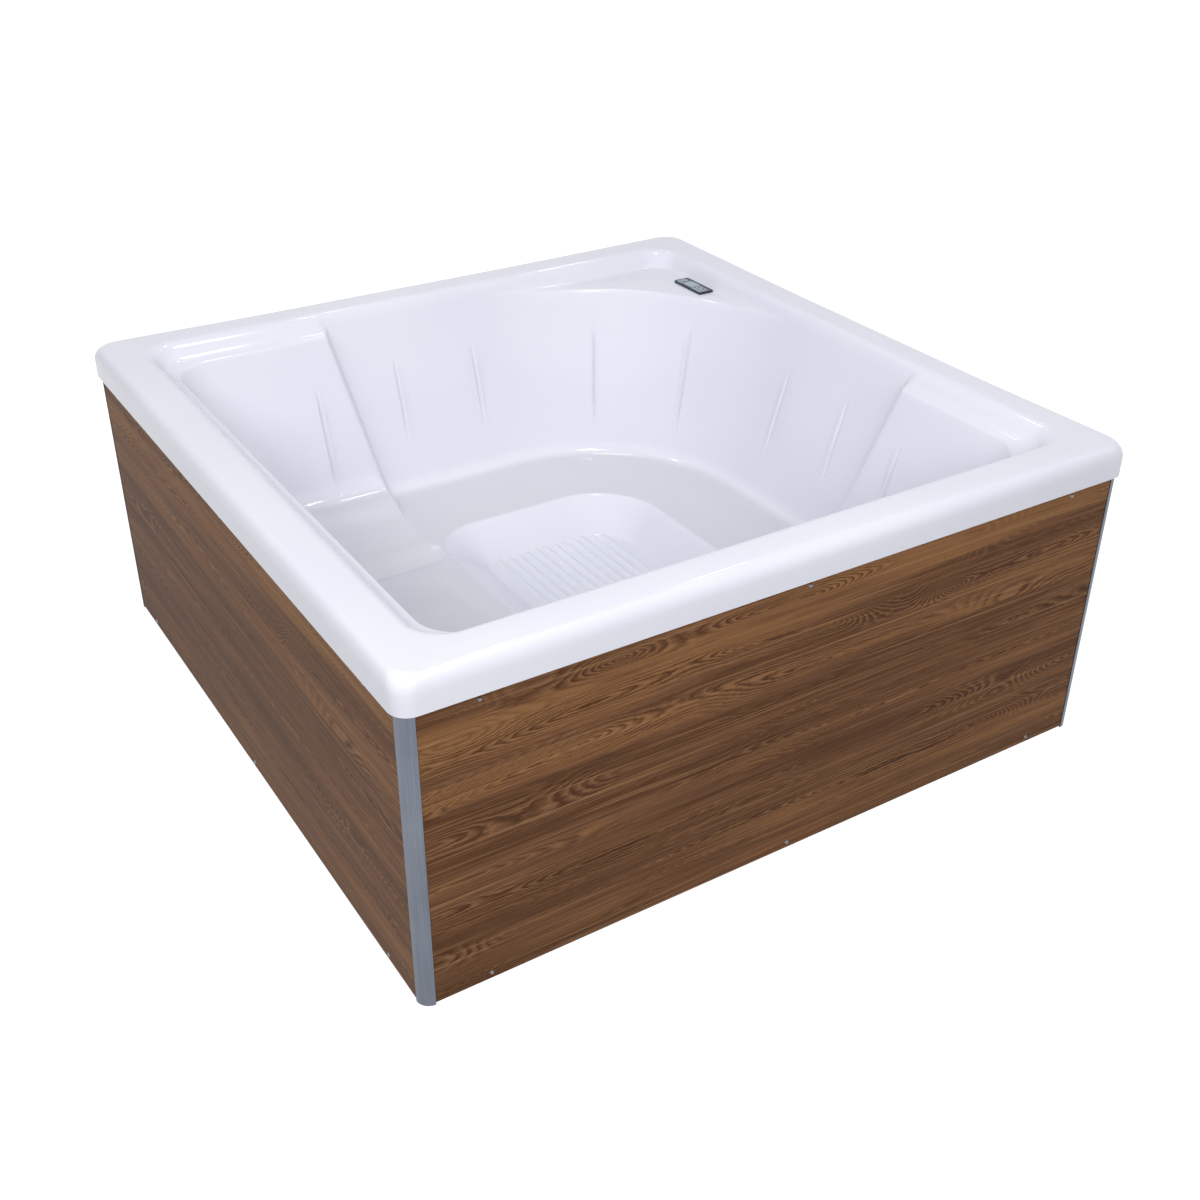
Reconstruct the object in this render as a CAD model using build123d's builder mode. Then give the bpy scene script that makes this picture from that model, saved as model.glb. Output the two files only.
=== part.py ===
from build123d import *
from math import atan, cos, sqrt
import os

os.makedirs("parts", exist_ok=True)

# Whole tub, in millimetres. The origin is on the floor under the tub's centre, +Y is the
# back and +X the right, and the far corner that holds the ledge is at +X +Y.
side = 1500
height = 640

# Rim of the acrylic shell
skin = 6
lip_height = 63
lip_corner = 34
rim_round = 33
opening_inset = 86
opening_corner = 70
opening_round = 9

# Ledge under the rim, seen as a triangle at the far corner
ledge_drop = 40
ledge_inset = 104
ledge_corner = 50

# Backrest and seat around the far corner, all arcs about one centre
arc_centre = 150
backrest_drop = 14
backrest_top_inset = 93
backrest_foot_inset = 213
backrest_end_top = -266
backrest_end_foot = -188
backrest_foot_round = 38
seat_height = 222

# Side benches, with a plainer wall that stands further in
bench_wall_top_inset = 128
bench_wall_foot_inset = 244
bench_corner_top = 80
bench_corner_foot = 110
bench_foot_round = 60
bench_back_rise = 40
bench_back_inset = 210
bench_level_at = 300
bench_dip = 17
block_edge = 205

# Footwell with ribs on its floor
footwell_low = -195
footwell_high = 312
footwell_corner = 110
footwell_foot_round = 12
floor_height = 143
floor_low = -88
floor_high = 250
floor_corner = 20
rib_pitch = 24
rib_width = 11
rib_rise = 4
rib_bevel = 1.5
rib_end_gap = 14

# Side panels, corner posts and their screws
panel_inset = 9
panel_thickness = 12
panel_foot = 4
panel_tuck = 14
panel_end_gap = 1
post_inset = 8
post_radius = 24
post_wall = 2
post_flange = 20
screw_end_distance = 135
screw_low = 16
screw_under_lip = 13
screw_radius = 2
screw_head_radius = 4
screw_head_height = 2
screw_head_taper = 30
screw_length = 30
screw_clearance = 0.1

# Frame
pad_height = 4
pad_size = 60
pad_end_distance = 90
tray_thickness = 4
rail_thickness = 28
top_rail_depth = 79
bottom_rail_height = 90
upright_size = 40
upright_drop = 40
joist_width = 38
joist_spacing = 400
board_thickness = 18
board_margin = 30

# Controller on the ledge
controller_length = 108
controller_width = 41
controller_rise = 5
controller_gap = 5
controller_end_distance = 281
controller_corner = 4
controller_body_length = 92
controller_body_width = 28
controller_depth = 26
controller_clearance = 0.5
window_length = 38
window_width = 27
window_thickness = 1.5
window_shift = 8.5
key_size = 15
key_height = 4
key_travel = 1.2
key_proud = 0.8
key_gap = 0.4
key_spacing = 17
key_end_distance = 14
key_corner = 2
key_well_spare = 0.2
key_bevel = 0.5
bezel_round = 1

# Drain in the footwell
drain_x = 80
drain_y = -40
drain_body_radius = 23.5
drain_clearance = 0.3
drain_flange_radius = 38
drain_flange_rise = 3
drain_flange_bevel = 1
drain_bore = 19
drain_tail = 45
drain_nut_radius = 36
drain_nut_height = 12
nut_sides = 8
board_hole_gap = 2
drain_gasket_thickness = 2
plug_radius = 26
plug_thickness = 5
plug_round = 2
plug_gap = 0.3
plug_stem_radius = 5
plug_stem_length = 49
guide_radius = 9
guide_height = 8
guide_bar_width = 4
pipe_radius = 20
pipe_bore = 17
pipe_bend = 34
drain_pipe_height = 60
valve_inset = 180
valve_length = 100
valve_radius = 30
valve_ball_radius = 23.5
valve_ball_bore = 15
valve_ball_gap = 0.3
valve_stem_radius = 6
valve_stem_rise = 18
shaft_gap = 0.05
lever_length = 100
lever_width = 18
lever_thickness = 4

# Hose sockets in the back panel
socket_flange_radius = 34
socket_flange_thickness = 3
socket_body_radius = 24
socket_bore = 16.5
socket_length = 45

# Circulation, on the wall that faces away from the camera
fitting_flange_radius = 38
fitting_flange_rise = 4
fitting_body_radius = 22
fitting_tail = 50
fitting_nut_radius = 34
fitting_nut_height = 12
fitting_slot_width = 5
fitting_slot_pitch = 9
fitting_slot_length = 28
fitting_bevel = 1.5
suction_y = 110
suction_rise = 118
return_y = 260
return_rise = 78
return_nozzle = 9
plumbing_inset = 115
pressure_pipe_rise = 178
pump_z = 100
pump_front = -80
motor_length = 180
motor_radius = 52
rotor_core_radius = 30
rotor_core_length = 130
rotor_core_gap = 0.5
rotor_end_gap = 10
bearing_depth = 15
seal_plate_thickness = 8
volute_length = 52
volute_radius = 56
chamber_radius = 46
chamber_depth = 34
outlet_bore = 11
impeller_radius = 42
impeller_hub = 14
impeller_thickness = 12
impeller_back = 3
vane_width = 4
vane_count = 6
shaft_radius = 6
inlet_spigot = 30
outlet_top = 190
terminal_width = 40
terminal_length = 50
terminal_height = 82
terminal_cable_drop = 16
bracket_width = 90
bracket_length = 110
bracket_top = 80

# Control box, cables and gland
box_side_distance = 280
box_back_distance = 110
box_length = 180
box_width = 90
box_height = 120
box_wall = 3
box_lid_thickness = 3
box_lid_plug = 5
box_corner = 4
cable_radius = 3
cable_bend = 28
cable_lift = 0.2
cable_exit_z = 30
cable_exit_inset = 15
cable_straight = 50
cable_slope_run = 90
keypad_cable_drop = 60
keypad_cable_run = 80
pump_cable_gap = 13
box_cable_rise = 120
cable_run_drop = 65
cable_wall_gap = 10
clip_size = 14
clip_count = 4
clip_spacing = 280
clip_lip = 3
gland_end_distance = 190
gland_z = 150
gland_radius = 11
gland_flange_radius = 16
gland_bore = 5
gland_length = 26

# Places worked out from the sizes above
half = side / 2
ledge_height = height - ledge_drop
backrest_top = height - backrest_drop
bench_back = half - bench_back_inset
bench_back_height = seat_height + bench_back_rise
upright_top = height - upright_drop
screw_spacing = half - screw_end_distance
pad_spacing = half - pad_end_distance
controller_y = half - controller_end_distance
valve_y = half - valve_inset
suction_z = seat_height + suction_rise
return_z = seat_height + return_rise
pressure_pipe_z = seat_height + pressure_pipe_rise
plumbing_x = plumbing_inset - half
box_x = box_side_distance - half
box_y = half - box_back_distance
gland_x = half - gland_end_distance
cable_run_z = height - cable_run_drop
rim_underside = height - skin
lip_bottom = height - lip_height
panel_top = lip_bottom + panel_tuck
rail_inset = panel_inset + panel_thickness
rail_inner = half - rail_inset - rail_thickness
frame_inset = rail_inset + post_wall
tray_top = pad_height + tray_thickness
joist_top = floor_height - skin - board_thickness
footwell_middle = (floor_low + floor_high) / 2
diagonal = Plane(origin=(0, 0, 0), x_dir=(0, 0, 1), z_dir=(1, -1, 0))
turns = {"front": 0, "right": 90, "back": 180, "left": 270}


def save(piece, name):
    piece.part.label = name
    export_step(piece.part, f"parts/{name}.step")


def between(z, low_z, low_value, high_z, high_value):
    """Value at height z on the straight line through two known heights."""
    return low_value + (high_value - low_value) * (z - low_z) / (high_z - low_z)


def far_radius(inset):
    """Radius of the far corner's arc, whose centre is the same at every height."""
    return half - arc_centre - inset


def backrest_inset(z):
    return between(z, seat_height, backrest_foot_inset, backrest_top, backrest_top_inset)


def backrest_end(z):
    return between(z, seat_height, backrest_end_foot, backrest_top, backrest_end_top)


def bench_wall_inset(z):
    return between(z, seat_height, bench_wall_foot_inset, ledge_height, bench_wall_top_inset)


def opening_wall_inset(z):
    return between(z, ledge_height, ledge_inset, height, opening_inset)


def square_outline(low, high, corner, far_corner):
    """Closed square from low to high on both axes; the far corner has its own radius."""
    FilletPolyline(
        (low, low),
        (high, low),
        (high, high),
        (low, high),
        close=True,
        radius=[corner, corner, far_corner, corner],
    )


def inset_outline(inset, corner, far_corner):
    return (inset - half, half - inset, corner, far_corner)


def tapered(top_z, top, foot_z, foot, foot_round):
    """Solid between two square outlines, with a rounded edge around its foot."""
    with BuildPart() as space:
        for z, outline in ((top_z, top), (foot_z, foot)):
            with BuildSketch(Plane.XY.offset(z)):
                with BuildLine():
                    square_outline(*outline)
                make_face()
        loft()
        if foot_round > 0:
            fillet(space.faces().sort_by(Axis.Z)[0].edges(), foot_round)
    return space.part


def rim_pocket(grow, top_z):
    """Sloping opening from the top of the rim down to the ledge."""
    top_inset = opening_wall_inset(top_z) - grow
    foot_inset = opening_wall_inset(ledge_height - grow) - grow
    return tapered(
        top_z,
        inset_outline(top_inset, opening_corner + grow, opening_corner + grow),
        ledge_height - grow,
        inset_outline(foot_inset, ledge_corner + grow, ledge_corner + grow),
        0,
    )


def bench_space(grow):
    """Space over the benches and the near-corner block."""
    top_z = ledge_height + 2
    top_inset = bench_wall_inset(top_z) - grow
    foot_inset = bench_wall_inset(seat_height - grow) - grow
    walls = tapered(
        top_z,
        inset_outline(top_inset, bench_corner_top + grow, far_radius(top_inset)),
        seat_height - grow,
        inset_outline(foot_inset, bench_corner_foot + grow, far_radius(foot_inset)),
        bench_foot_round + grow,
    )
    with BuildPart() as rise:
        with BuildSketch(Plane.YZ.offset(-half)):
            with BuildLine():
                Polyline(
                    (bench_level_at, seat_height - grow),
                    (bench_back, bench_back_height - grow),
                    (bench_back, 0),
                    (bench_level_at, 0),
                    close=True,
                )
            make_face()
        extrude(amount=half + backrest_end_foot - grow)
        mirror(about=diagonal)
    with BuildPart() as space:
        add(walls)
        add(rise.part, mode=Mode.SUBTRACT)
    return space.part


def bench_dips(grow):
    """Shallow fall of each bench towards the near-corner block."""
    wall_x = bench_wall_foot_inset + bench_foot_round - half
    with BuildPart() as space:
        with BuildSketch(Plane.YZ.offset(wall_x - grow)):
            with BuildLine():
                Polyline(
                    (block_edge - grow, seat_height - bench_dip - grow),
                    (bench_level_at, seat_height - grow),
                    (bench_level_at, seat_height + 1 - grow),
                    (block_edge - grow, seat_height + 1 - grow),
                    close=True,
                )
            make_face()
        extrude(amount=backrest_end_foot - wall_x + grow)
        mirror(about=diagonal)
    return space.part


def backrest_space(grow):
    """Space in front of the backrest, cut off along the two slanting steps."""
    top_inset = backrest_top_inset - grow
    foot_inset = backrest_inset(seat_height - grow) - grow
    walls = tapered(
        backrest_top,
        inset_outline(top_inset, opening_corner, far_radius(top_inset)),
        seat_height - grow,
        inset_outline(foot_inset, opening_corner, far_radius(foot_inset)),
        backrest_foot_round + grow,
    )
    with BuildPart() as space:
        for z in (seat_height - grow, backrest_top):
            start = backrest_end(z) - grow
            with BuildSketch(Plane.XY.offset(z)):
                with Locations((start, start)):
                    Rectangle(half - start, half - start, align=(Align.MIN, Align.MIN))
        loft()
        add(walls, mode=Mode.INTERSECT)
    return space.part


def footwell_space(grow):
    return tapered(
        seat_height + 1 - grow,
        (
            footwell_low - grow,
            footwell_high + grow,
            footwell_corner + grow,
            footwell_high - arc_centre + grow,
        ),
        floor_height - grow,
        (
            floor_low - grow,
            floor_high + grow,
            floor_corner + grow,
            floor_high - arc_centre + grow,
        ),
        footwell_foot_round + grow,
    )


def tub_space(grow, top_z):
    """All the space inside the tub up to top_z, with its walls moved out by grow."""
    with BuildPart() as space:
        add(rim_pocket(grow, top_z))
        add(bench_space(grow))
        add(bench_dips(grow))
        add(backrest_space(grow))
        add(footwell_space(grow))
    return space.part


def side_plane(turn, inset):
    """Upright plane that faces out of one side, its origin on the floor at the middle."""
    across = Plane.XY.rotated((0, 0, turn))
    origin = across.from_local_coords((0, inset - half, 0))
    return Plane(origin=origin, x_dir=across.x_dir, z_dir=-across.y_dir)


def side_section(turn, start):
    """Upright plane across one side; its x is the way in from the tub's centre plane."""
    across = Plane.XY.rotated((0, 0, turn))
    origin = across.from_local_coords((start, 0, 0))
    return Plane(origin=origin, x_dir=across.y_dir, z_dir=across.x_dir)


def tube(points, bend, outer, bore=0):
    """Tube along straight runs joined by arcs."""
    start = Plane(origin=points[0], z_dir=Vector(*points[1]) - Vector(*points[0]))
    with BuildPart() as run:
        with BuildLine() as route:
            if len(points) > 2:
                FilletPolyline(*points, radius=bend)
            else:
                Line(*points)
        with BuildSketch(start):
            Circle(outer)
            if bore > 0:
                Circle(bore, mode=Mode.SUBTRACT)
        sweep(path=route.line)
    return run


# Planes that several pieces share
controller_x = half - ledge_inset - controller_gap - controller_width / 2
controller_plane = Plane(origin=(controller_x, controller_y, ledge_height))
drain_plane = Plane(origin=(drain_x, drain_y, floor_height))
pump_plane = Plane(origin=(plumbing_x, pump_front, pump_z), x_dir=(1, 0, 0), z_dir=(0, 1, 0))
wall_slope = (bench_wall_foot_inset - bench_wall_top_inset) / (ledge_height - seat_height)
wall_lean = atan(wall_slope)
wall_skin = skin * cos(wall_lean)


def fitting_plane(y, z):
    """Plane on the left bench's wall, facing into the tub."""
    origin = (bench_wall_inset(z) - half, y, z)
    return Plane(origin=origin, x_dir=(0, 1, 0), z_dir=(1, 0, wall_slope))


suction_plane = fitting_plane(suction_y, suction_z)
return_plane = fitting_plane(return_y, return_z)
suction_tail = suction_plane.from_local_coords((0, 0, -fitting_tail))
return_tail = return_plane.from_local_coords((0, 0, -fitting_tail))
suction_turn_z = suction_tail.Z + (plumbing_x - suction_tail.X) * wall_slope
return_turn_z = return_tail.Z + (plumbing_x - return_tail.X) * wall_slope


# Acrylic shell: a rolled rim over a hollow underside, and the tub's wall of even skin
with BuildPart() as rim_void:
    with BuildSketch(Plane.XY.offset(lip_bottom - 1)):
        with BuildLine():
            square_outline(*inset_outline(skin, lip_corner - skin, lip_corner - skin))
        make_face()
    extrude(amount=rim_underside - lip_bottom + 1)
    fillet(rim_void.faces().sort_by(Axis.Z)[-1].edges(), rim_round - skin)

with BuildPart() as floor_ribs:
    rib_start = drain_y + drain_flange_radius + rib_end_gap
    rib_reach = floor_high - arc_centre - rib_end_gap
    rib_count = int((floor_high - floor_low - 2 * rib_end_gap) / rib_pitch)
    first_rib = footwell_middle - (rib_count - 1) * rib_pitch / 2
    with BuildSketch(Plane.XY.offset(floor_height - skin / 2)):
        for number in range(rib_count):
            rib_x = first_rib + number * rib_pitch
            past_centre = max(rib_x - arc_centre, 0)
            rib_end = arc_centre + sqrt(max(rib_reach**2 - past_centre**2, 0))
            with Locations((rib_x, (rib_start + rib_end) / 2)):
                SlotOverall(rib_end - rib_start, rib_width, rotation=90)
    extrude(amount=rib_rise + skin / 2)
    chamfer(floor_ribs.faces().group_by(Axis.Z)[-1].edges(), rib_bevel)

with BuildPart() as acrylic_shell:
    with BuildSketch(Plane.XY.offset(lip_bottom)):
        with BuildLine():
            square_outline(*inset_outline(0, lip_corner, lip_corner))
        make_face()
    extrude(amount=lip_height)
    fillet(acrylic_shell.faces().sort_by(Axis.Z)[-1].edges(), rim_round)
    add(rim_void.part, mode=Mode.SUBTRACT)
    add(tub_space(skin, height - skin / 2))
    add(tub_space(0, height + 1), mode=Mode.SUBTRACT)
    rim_face = acrylic_shell.faces().sort_by(Axis.Z)[-1]
    fillet(rim_face.inner_wires()[0].edges(), opening_round)
    add(floor_ribs.part)
    with BuildSketch(drain_plane):
        Circle(drain_body_radius + drain_clearance)
    extrude(amount=-2 * skin, mode=Mode.SUBTRACT)
    with BuildSketch(controller_plane):
        Rectangle(
            controller_body_width + 2 * controller_clearance,
            controller_body_length + 2 * controller_clearance,
        )
    extrude(amount=-2 * skin, mode=Mode.SUBTRACT)
    for plane in (suction_plane, return_plane):
        with BuildSketch(plane):
            Circle(fitting_body_radius + drain_clearance)
        extrude(amount=2 * skin, both=True, mode=Mode.SUBTRACT)

# The one moulding is saved as five solids that meet face to face: its rim with the ledge,
# and under that four walls with their share of the floor
wall_top = ledge_height - 2 * skin
wall_spans = ((opening_inset - half, arc_centre), (arc_centre, half - opening_inset))
shell_solids = []
for low_x, high_x in wall_spans:
    for low_y, high_y in wall_spans:
        with BuildPart() as wall:
            with BuildSketch():
                with Locations((low_x, low_y)):
                    Rectangle(high_x - low_x, high_y - low_y, align=(Align.MIN, Align.MIN))
            extrude(amount=wall_top)
            add(acrylic_shell.part, mode=Mode.INTERSECT)
        shell_solids.extend(wall.part.solids())

with BuildPart() as shell_rim:
    add(acrylic_shell.part)
    with BuildSketch():
        Rectangle(side - 2 * opening_inset, side - 2 * opening_inset)
    extrude(amount=wall_top, mode=Mode.SUBTRACT)
shell_solids.extend(shell_rim.part.solids())
shell_moulding = Compound(shell_solids)
shell_moulding.label = "acrylic_shell"
export_step(shell_moulding, "parts/acrylic_shell.step")


# Side panels, each held by three screws along the top and three along the bottom
panel_length = 2 * (half - post_inset - post_radius - panel_end_gap)
screw_points = [
    (number * screw_spacing, z)
    for z in (screw_low, lip_bottom - screw_under_lip)
    for number in (-1, 0, 1)
]
back_sockets = {
    "supply_union": (plumbing_x, pressure_pipe_z),
    "return_union": (plumbing_x, return_turn_z),
    "drain_outlet": (drain_x, drain_pipe_height),
}

for name, turn in turns.items():
    with BuildPart() as panel:
        with BuildSketch(side_plane(turn, panel_inset)):
            with Locations((0, (panel_foot + panel_top) / 2)):
                Rectangle(panel_length, panel_top - panel_foot)
            with Locations(*screw_points):
                Circle(screw_radius + screw_clearance, mode=Mode.SUBTRACT)
            if name == "back":
                with Locations(*[(-x, z) for x, z in back_sockets.values()]):
                    Circle(socket_body_radius + drain_clearance, mode=Mode.SUBTRACT)
                with Locations((-gland_x, gland_z)):
                    Circle(gland_radius + drain_clearance, mode=Mode.SUBTRACT)
        extrude(amount=-panel_thickness)
    save(panel, f"{name}_panel")

with BuildPart() as panel_screws:
    for turn in turns.values():
        with BuildSketch(side_plane(turn, panel_inset)):
            with Locations(*screw_points):
                Circle(screw_radius)
        extrude(amount=-screw_length)
        with BuildSketch(side_plane(turn, panel_inset)):
            with Locations(*screw_points):
                Circle(screw_head_radius)
        extrude(amount=screw_head_height, taper=screw_head_taper)
save(panel_screws, "panel_screws")


# Corner posts: quarter-round extrusions with a flange behind each panel's end
post_centre = half - post_inset - post_radius
post_names = {"front_left": 0, "front_right": 90, "back_right": 180, "back_left": 270}

for name, turn in post_names.items():
    with BuildPart() as corner_post:
        with BuildSketch(Plane.XY.rotated((0, 0, turn))):
            with Locations((-post_centre, -post_centre)):
                Circle(post_radius)
                Circle(post_radius - post_wall, mode=Mode.SUBTRACT)
                Rectangle(
                    2 * post_radius,
                    2 * post_radius,
                    align=(Align.MAX, Align.MAX),
                    mode=Mode.INTERSECT,
                )
            with Locations((-post_centre, -half + post_inset)):
                Rectangle(
                    post_wall,
                    frame_inset - post_inset,
                    align=(Align.MAX, Align.MIN),
                )
            with Locations((-post_centre - post_wall, -half + frame_inset)):
                Rectangle(
                    post_wall + post_flange,
                    post_wall,
                    align=(Align.MIN, Align.MAX),
                )
            mirror(about=diagonal)
        extrude(amount=panel_top)
    save(corner_post, f"corner_post_{name}")


# Frame of uprights and rails on a tray, with two joists and a board under the footwell
rail_half_length = half - frame_inset - upright_size
rim_arc = rim_round - skin
rail_ease_run = rim_round - rail_inset + 1
rail_ease_drop = rim_arc - sqrt(rim_arc**2 - (rim_round - rail_inset) ** 2) + 1
top_rail_low = rim_underside - top_rail_depth

for name, turn in post_names.items():
    with BuildPart() as upright:
        with BuildSketch(Plane.XY.offset(tray_top).rotated((0, 0, turn))):
            with Locations((frame_inset - half, frame_inset - half)):
                Rectangle(upright_size, upright_size, align=(Align.MIN, Align.MIN))
        extrude(amount=upright_top - tray_top)
    save(upright, f"upright_{name}")

for name, turn in turns.items():
    rail_out = rail_inset - half
    rail_in = rail_out + rail_thickness
    with BuildPart() as top_rail:
        with BuildSketch(side_section(turn, -rail_half_length)):
            with BuildLine():
                Polyline(
                    (rail_out, top_rail_low),
                    (rail_in, top_rail_low),
                    (rail_in, rim_underside),
                    (rail_out + rail_ease_run, rim_underside),
                    (rail_out, rim_underside - rail_ease_drop),
                    close=True,
                )
            make_face()
        extrude(amount=2 * rail_half_length)
        with BuildSketch(side_plane(turn, panel_inset)):
            with Locations(*screw_points):
                Circle(screw_radius + screw_clearance)
        extrude(amount=-screw_length - 1, mode=Mode.SUBTRACT)
    save(top_rail, f"top_rail_{name}")

    with BuildPart() as bottom_rail:
        with BuildSketch(side_section(turn, -rail_half_length)):
            with Locations((rail_out, tray_top)):
                Rectangle(rail_thickness, bottom_rail_height, align=(Align.MIN, Align.MIN))
        extrude(amount=2 * rail_half_length)
        with BuildSketch(side_plane(turn, panel_inset)):
            with Locations(*screw_points):
                Circle(screw_radius + screw_clearance)
        extrude(amount=-screw_length - 1, mode=Mode.SUBTRACT)
        if name == "back":
            with BuildSketch(side_plane(turn, panel_inset)):
                with Locations((-drain_x, drain_pipe_height)):
                    Circle(socket_body_radius + drain_clearance)
            extrude(amount=-socket_length - 1, mode=Mode.SUBTRACT)
    save(bottom_rail, f"bottom_rail_{name}")

with BuildPart() as rubber_pads:
    with BuildSketch():
        with GridLocations(pad_spacing, pad_spacing, 3, 3):
            Rectangle(pad_size, pad_size)
    extrude(amount=pad_height)
save(rubber_pads, "rubber_pads")

with BuildPart() as base_tray:
    with BuildSketch(Plane.XY.offset(pad_height)):
        Rectangle(side - 2 * frame_inset, side - 2 * frame_inset)
    extrude(amount=tray_thickness)
save(base_tray, "base_tray")

with BuildPart() as floor_joists:
    with BuildSketch(Plane.XY.offset(tray_top)):
        with Locations((footwell_middle, 0)):
            with GridLocations(joist_spacing, 0, 2, 1):
                Rectangle(joist_width, 2 * rail_inner)
    extrude(amount=joist_top - tray_top)
save(floor_joists, "floor_joists")

with BuildPart() as footwell_board:
    with BuildSketch(Plane.XY.offset(joist_top)):
        with Locations((footwell_middle, footwell_middle)):
            Rectangle(
                joist_spacing + joist_width,
                floor_high - floor_low + 2 * board_margin,
            )
        with Locations((drain_x, drain_y)):
            Circle(drain_nut_radius + board_hole_gap, mode=Mode.SUBTRACT)
    extrude(amount=board_thickness)
save(footwell_board, "footwell_board")


# Controller: a housing that drops through the ledge, a window and three keys
key_places = {
    "left": controller_length / 2 - key_end_distance,
    "middle": key_end_distance + key_spacing - controller_length / 2,
    "right": key_end_distance - controller_length / 2,
}
key_well = key_height - key_proud + key_travel + key_well_spare

with BuildPart() as controller_housing:
    with BuildSketch(controller_plane):
        RectangleRounded(controller_width, controller_length, controller_corner)
    extrude(amount=controller_rise)
    fillet(controller_housing.faces().sort_by(Axis.Z)[-1].edges(), bezel_round)
    with BuildSketch(controller_plane):
        Rectangle(controller_body_width, controller_body_length)
    extrude(amount=-controller_depth)
    with BuildSketch(controller_plane.offset(controller_rise)):
        with Locations(*[(0, place) for place in key_places.values()]):
            Rectangle(key_size + 2 * key_gap, key_size + 2 * key_gap)
    extrude(amount=-key_well, mode=Mode.SUBTRACT)
    with BuildSketch(controller_plane.offset(controller_rise)):
        with Locations((0, window_shift)):
            Rectangle(window_width, window_length)
    extrude(amount=-window_thickness, mode=Mode.SUBTRACT)
save(controller_housing, "controller_housing")

with BuildPart() as controller_window:
    with BuildSketch(controller_plane.offset(controller_rise - window_thickness)):
        with Locations((0, window_shift)):
            Rectangle(window_width, window_length)
    extrude(amount=window_thickness)
save(controller_window, "controller_window")

for name, place in key_places.items():
    with BuildPart() as key:
        with BuildSketch(controller_plane.offset(controller_rise + key_proud)):
            with Locations((0, place)):
                RectangleRounded(key_size, key_size, key_corner)
        extrude(amount=-key_height)
        chamfer(key.faces().sort_by(Axis.Z)[-1].edges(), key_bevel)
    save(key, f"controller_key_{name}")


# Drain: a flanged body through the footwell floor, a lifting plug, then pipe and valve
with BuildPart() as drain_flange:
    with BuildSketch(drain_plane):
        Circle(drain_flange_radius)
    extrude(amount=drain_flange_rise)
    chamfer(drain_flange.faces().sort_by(Axis.Z)[-1].edges(), drain_flange_bevel)
    with BuildSketch(drain_plane):
        Circle(drain_body_radius)
    extrude(amount=-drain_tail)
    with BuildSketch(drain_plane.offset(drain_flange_rise)):
        Circle(drain_bore)
    extrude(amount=-drain_tail - drain_flange_rise, mode=Mode.SUBTRACT)
    with BuildSketch(drain_plane.offset(-drain_tail)):
        Rectangle(2 * drain_bore + 2 * guide_bar_width, guide_bar_width)
        Circle(guide_radius)
        Circle(plug_stem_radius + plug_gap, mode=Mode.SUBTRACT)
    extrude(amount=guide_height)
save(drain_flange, "drain_flange")

with BuildPart() as drain_plug:
    with BuildSketch(drain_plane.offset(drain_flange_rise + plug_gap)):
        Circle(plug_radius)
    extrude(amount=plug_thickness)
    fillet(drain_plug.faces().sort_by(Axis.Z)[-1].edges(), plug_round)
    with BuildSketch(drain_plane.offset(drain_flange_rise + plug_gap)):
        Circle(plug_stem_radius)
    extrude(amount=-plug_stem_length - drain_flange_rise)
save(drain_plug, "drain_plug")

drain_under = drain_plane.offset(-skin)
with BuildPart() as drain_gasket:
    with BuildSketch(drain_under):
        Circle(drain_nut_radius)
        Circle(drain_body_radius + drain_clearance, mode=Mode.SUBTRACT)
    extrude(amount=-drain_gasket_thickness)
save(drain_gasket, "drain_gasket")

with BuildPart() as drain_nut:
    with BuildSketch(drain_under.offset(-drain_gasket_thickness)):
        RegularPolygon(drain_nut_radius, nut_sides)
        Circle(drain_body_radius + screw_clearance, mode=Mode.SUBTRACT)
    extrude(amount=-drain_nut_height)
save(drain_nut, "drain_nut")

drain_pipe = tube(
    [
        (drain_x, drain_y, floor_height - drain_tail),
        (drain_x, drain_y, drain_pipe_height),
        (drain_x, valve_y - valve_length / 2, drain_pipe_height),
    ],
    pipe_bend,
    pipe_radius,
    pipe_bore,
)
save(drain_pipe, "drain_pipe")

valve_start = Plane(
    origin=(drain_x, valve_y - valve_length / 2, drain_pipe_height),
    x_dir=(1, 0, 0),
    z_dir=(0, 1, 0),
)
valve_centre = Plane(origin=(drain_x, valve_y, drain_pipe_height))
stem_top = valve_radius + valve_stem_rise
with BuildPart() as drain_valve_body:
    with BuildSketch(valve_start):
        Circle(valve_radius)
    extrude(amount=valve_length)
    with BuildSketch(valve_centre):
        Circle(2 * valve_stem_radius)
    extrude(amount=valve_radius + valve_stem_rise / 2)
    with BuildSketch(valve_start):
        Circle(pipe_bore)
    extrude(amount=valve_length, mode=Mode.SUBTRACT)
    with Locations(valve_centre):
        Sphere(valve_ball_radius + valve_ball_gap, mode=Mode.SUBTRACT)
    with BuildSketch(valve_centre):
        Circle(valve_stem_radius + shaft_gap)
    extrude(amount=stem_top, mode=Mode.SUBTRACT)
save(drain_valve_body, "drain_valve_body")

with BuildPart() as drain_valve_ball:
    with Locations(valve_centre):
        Sphere(valve_ball_radius)
    with BuildSketch(valve_centre):
        Circle(valve_stem_radius)
    extrude(amount=stem_top)
    with BuildSketch(Plane.YZ.offset(drain_x)):
        with Locations((valve_y, drain_pipe_height)):
            Circle(valve_ball_bore)
    extrude(amount=valve_radius, both=True, mode=Mode.SUBTRACT)
save(drain_valve_ball, "drain_valve_ball")

with BuildPart() as drain_valve_lever:
    with BuildSketch(valve_centre.offset(stem_top - lever_thickness)):
        with Locations((lever_length / 2 - lever_width / 2, 0)):
            SlotOverall(lever_length, lever_width)
        Circle(valve_stem_radius + screw_clearance, mode=Mode.SUBTRACT)
    extrude(amount=lever_thickness)
save(drain_valve_lever, "drain_valve_lever")

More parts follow.
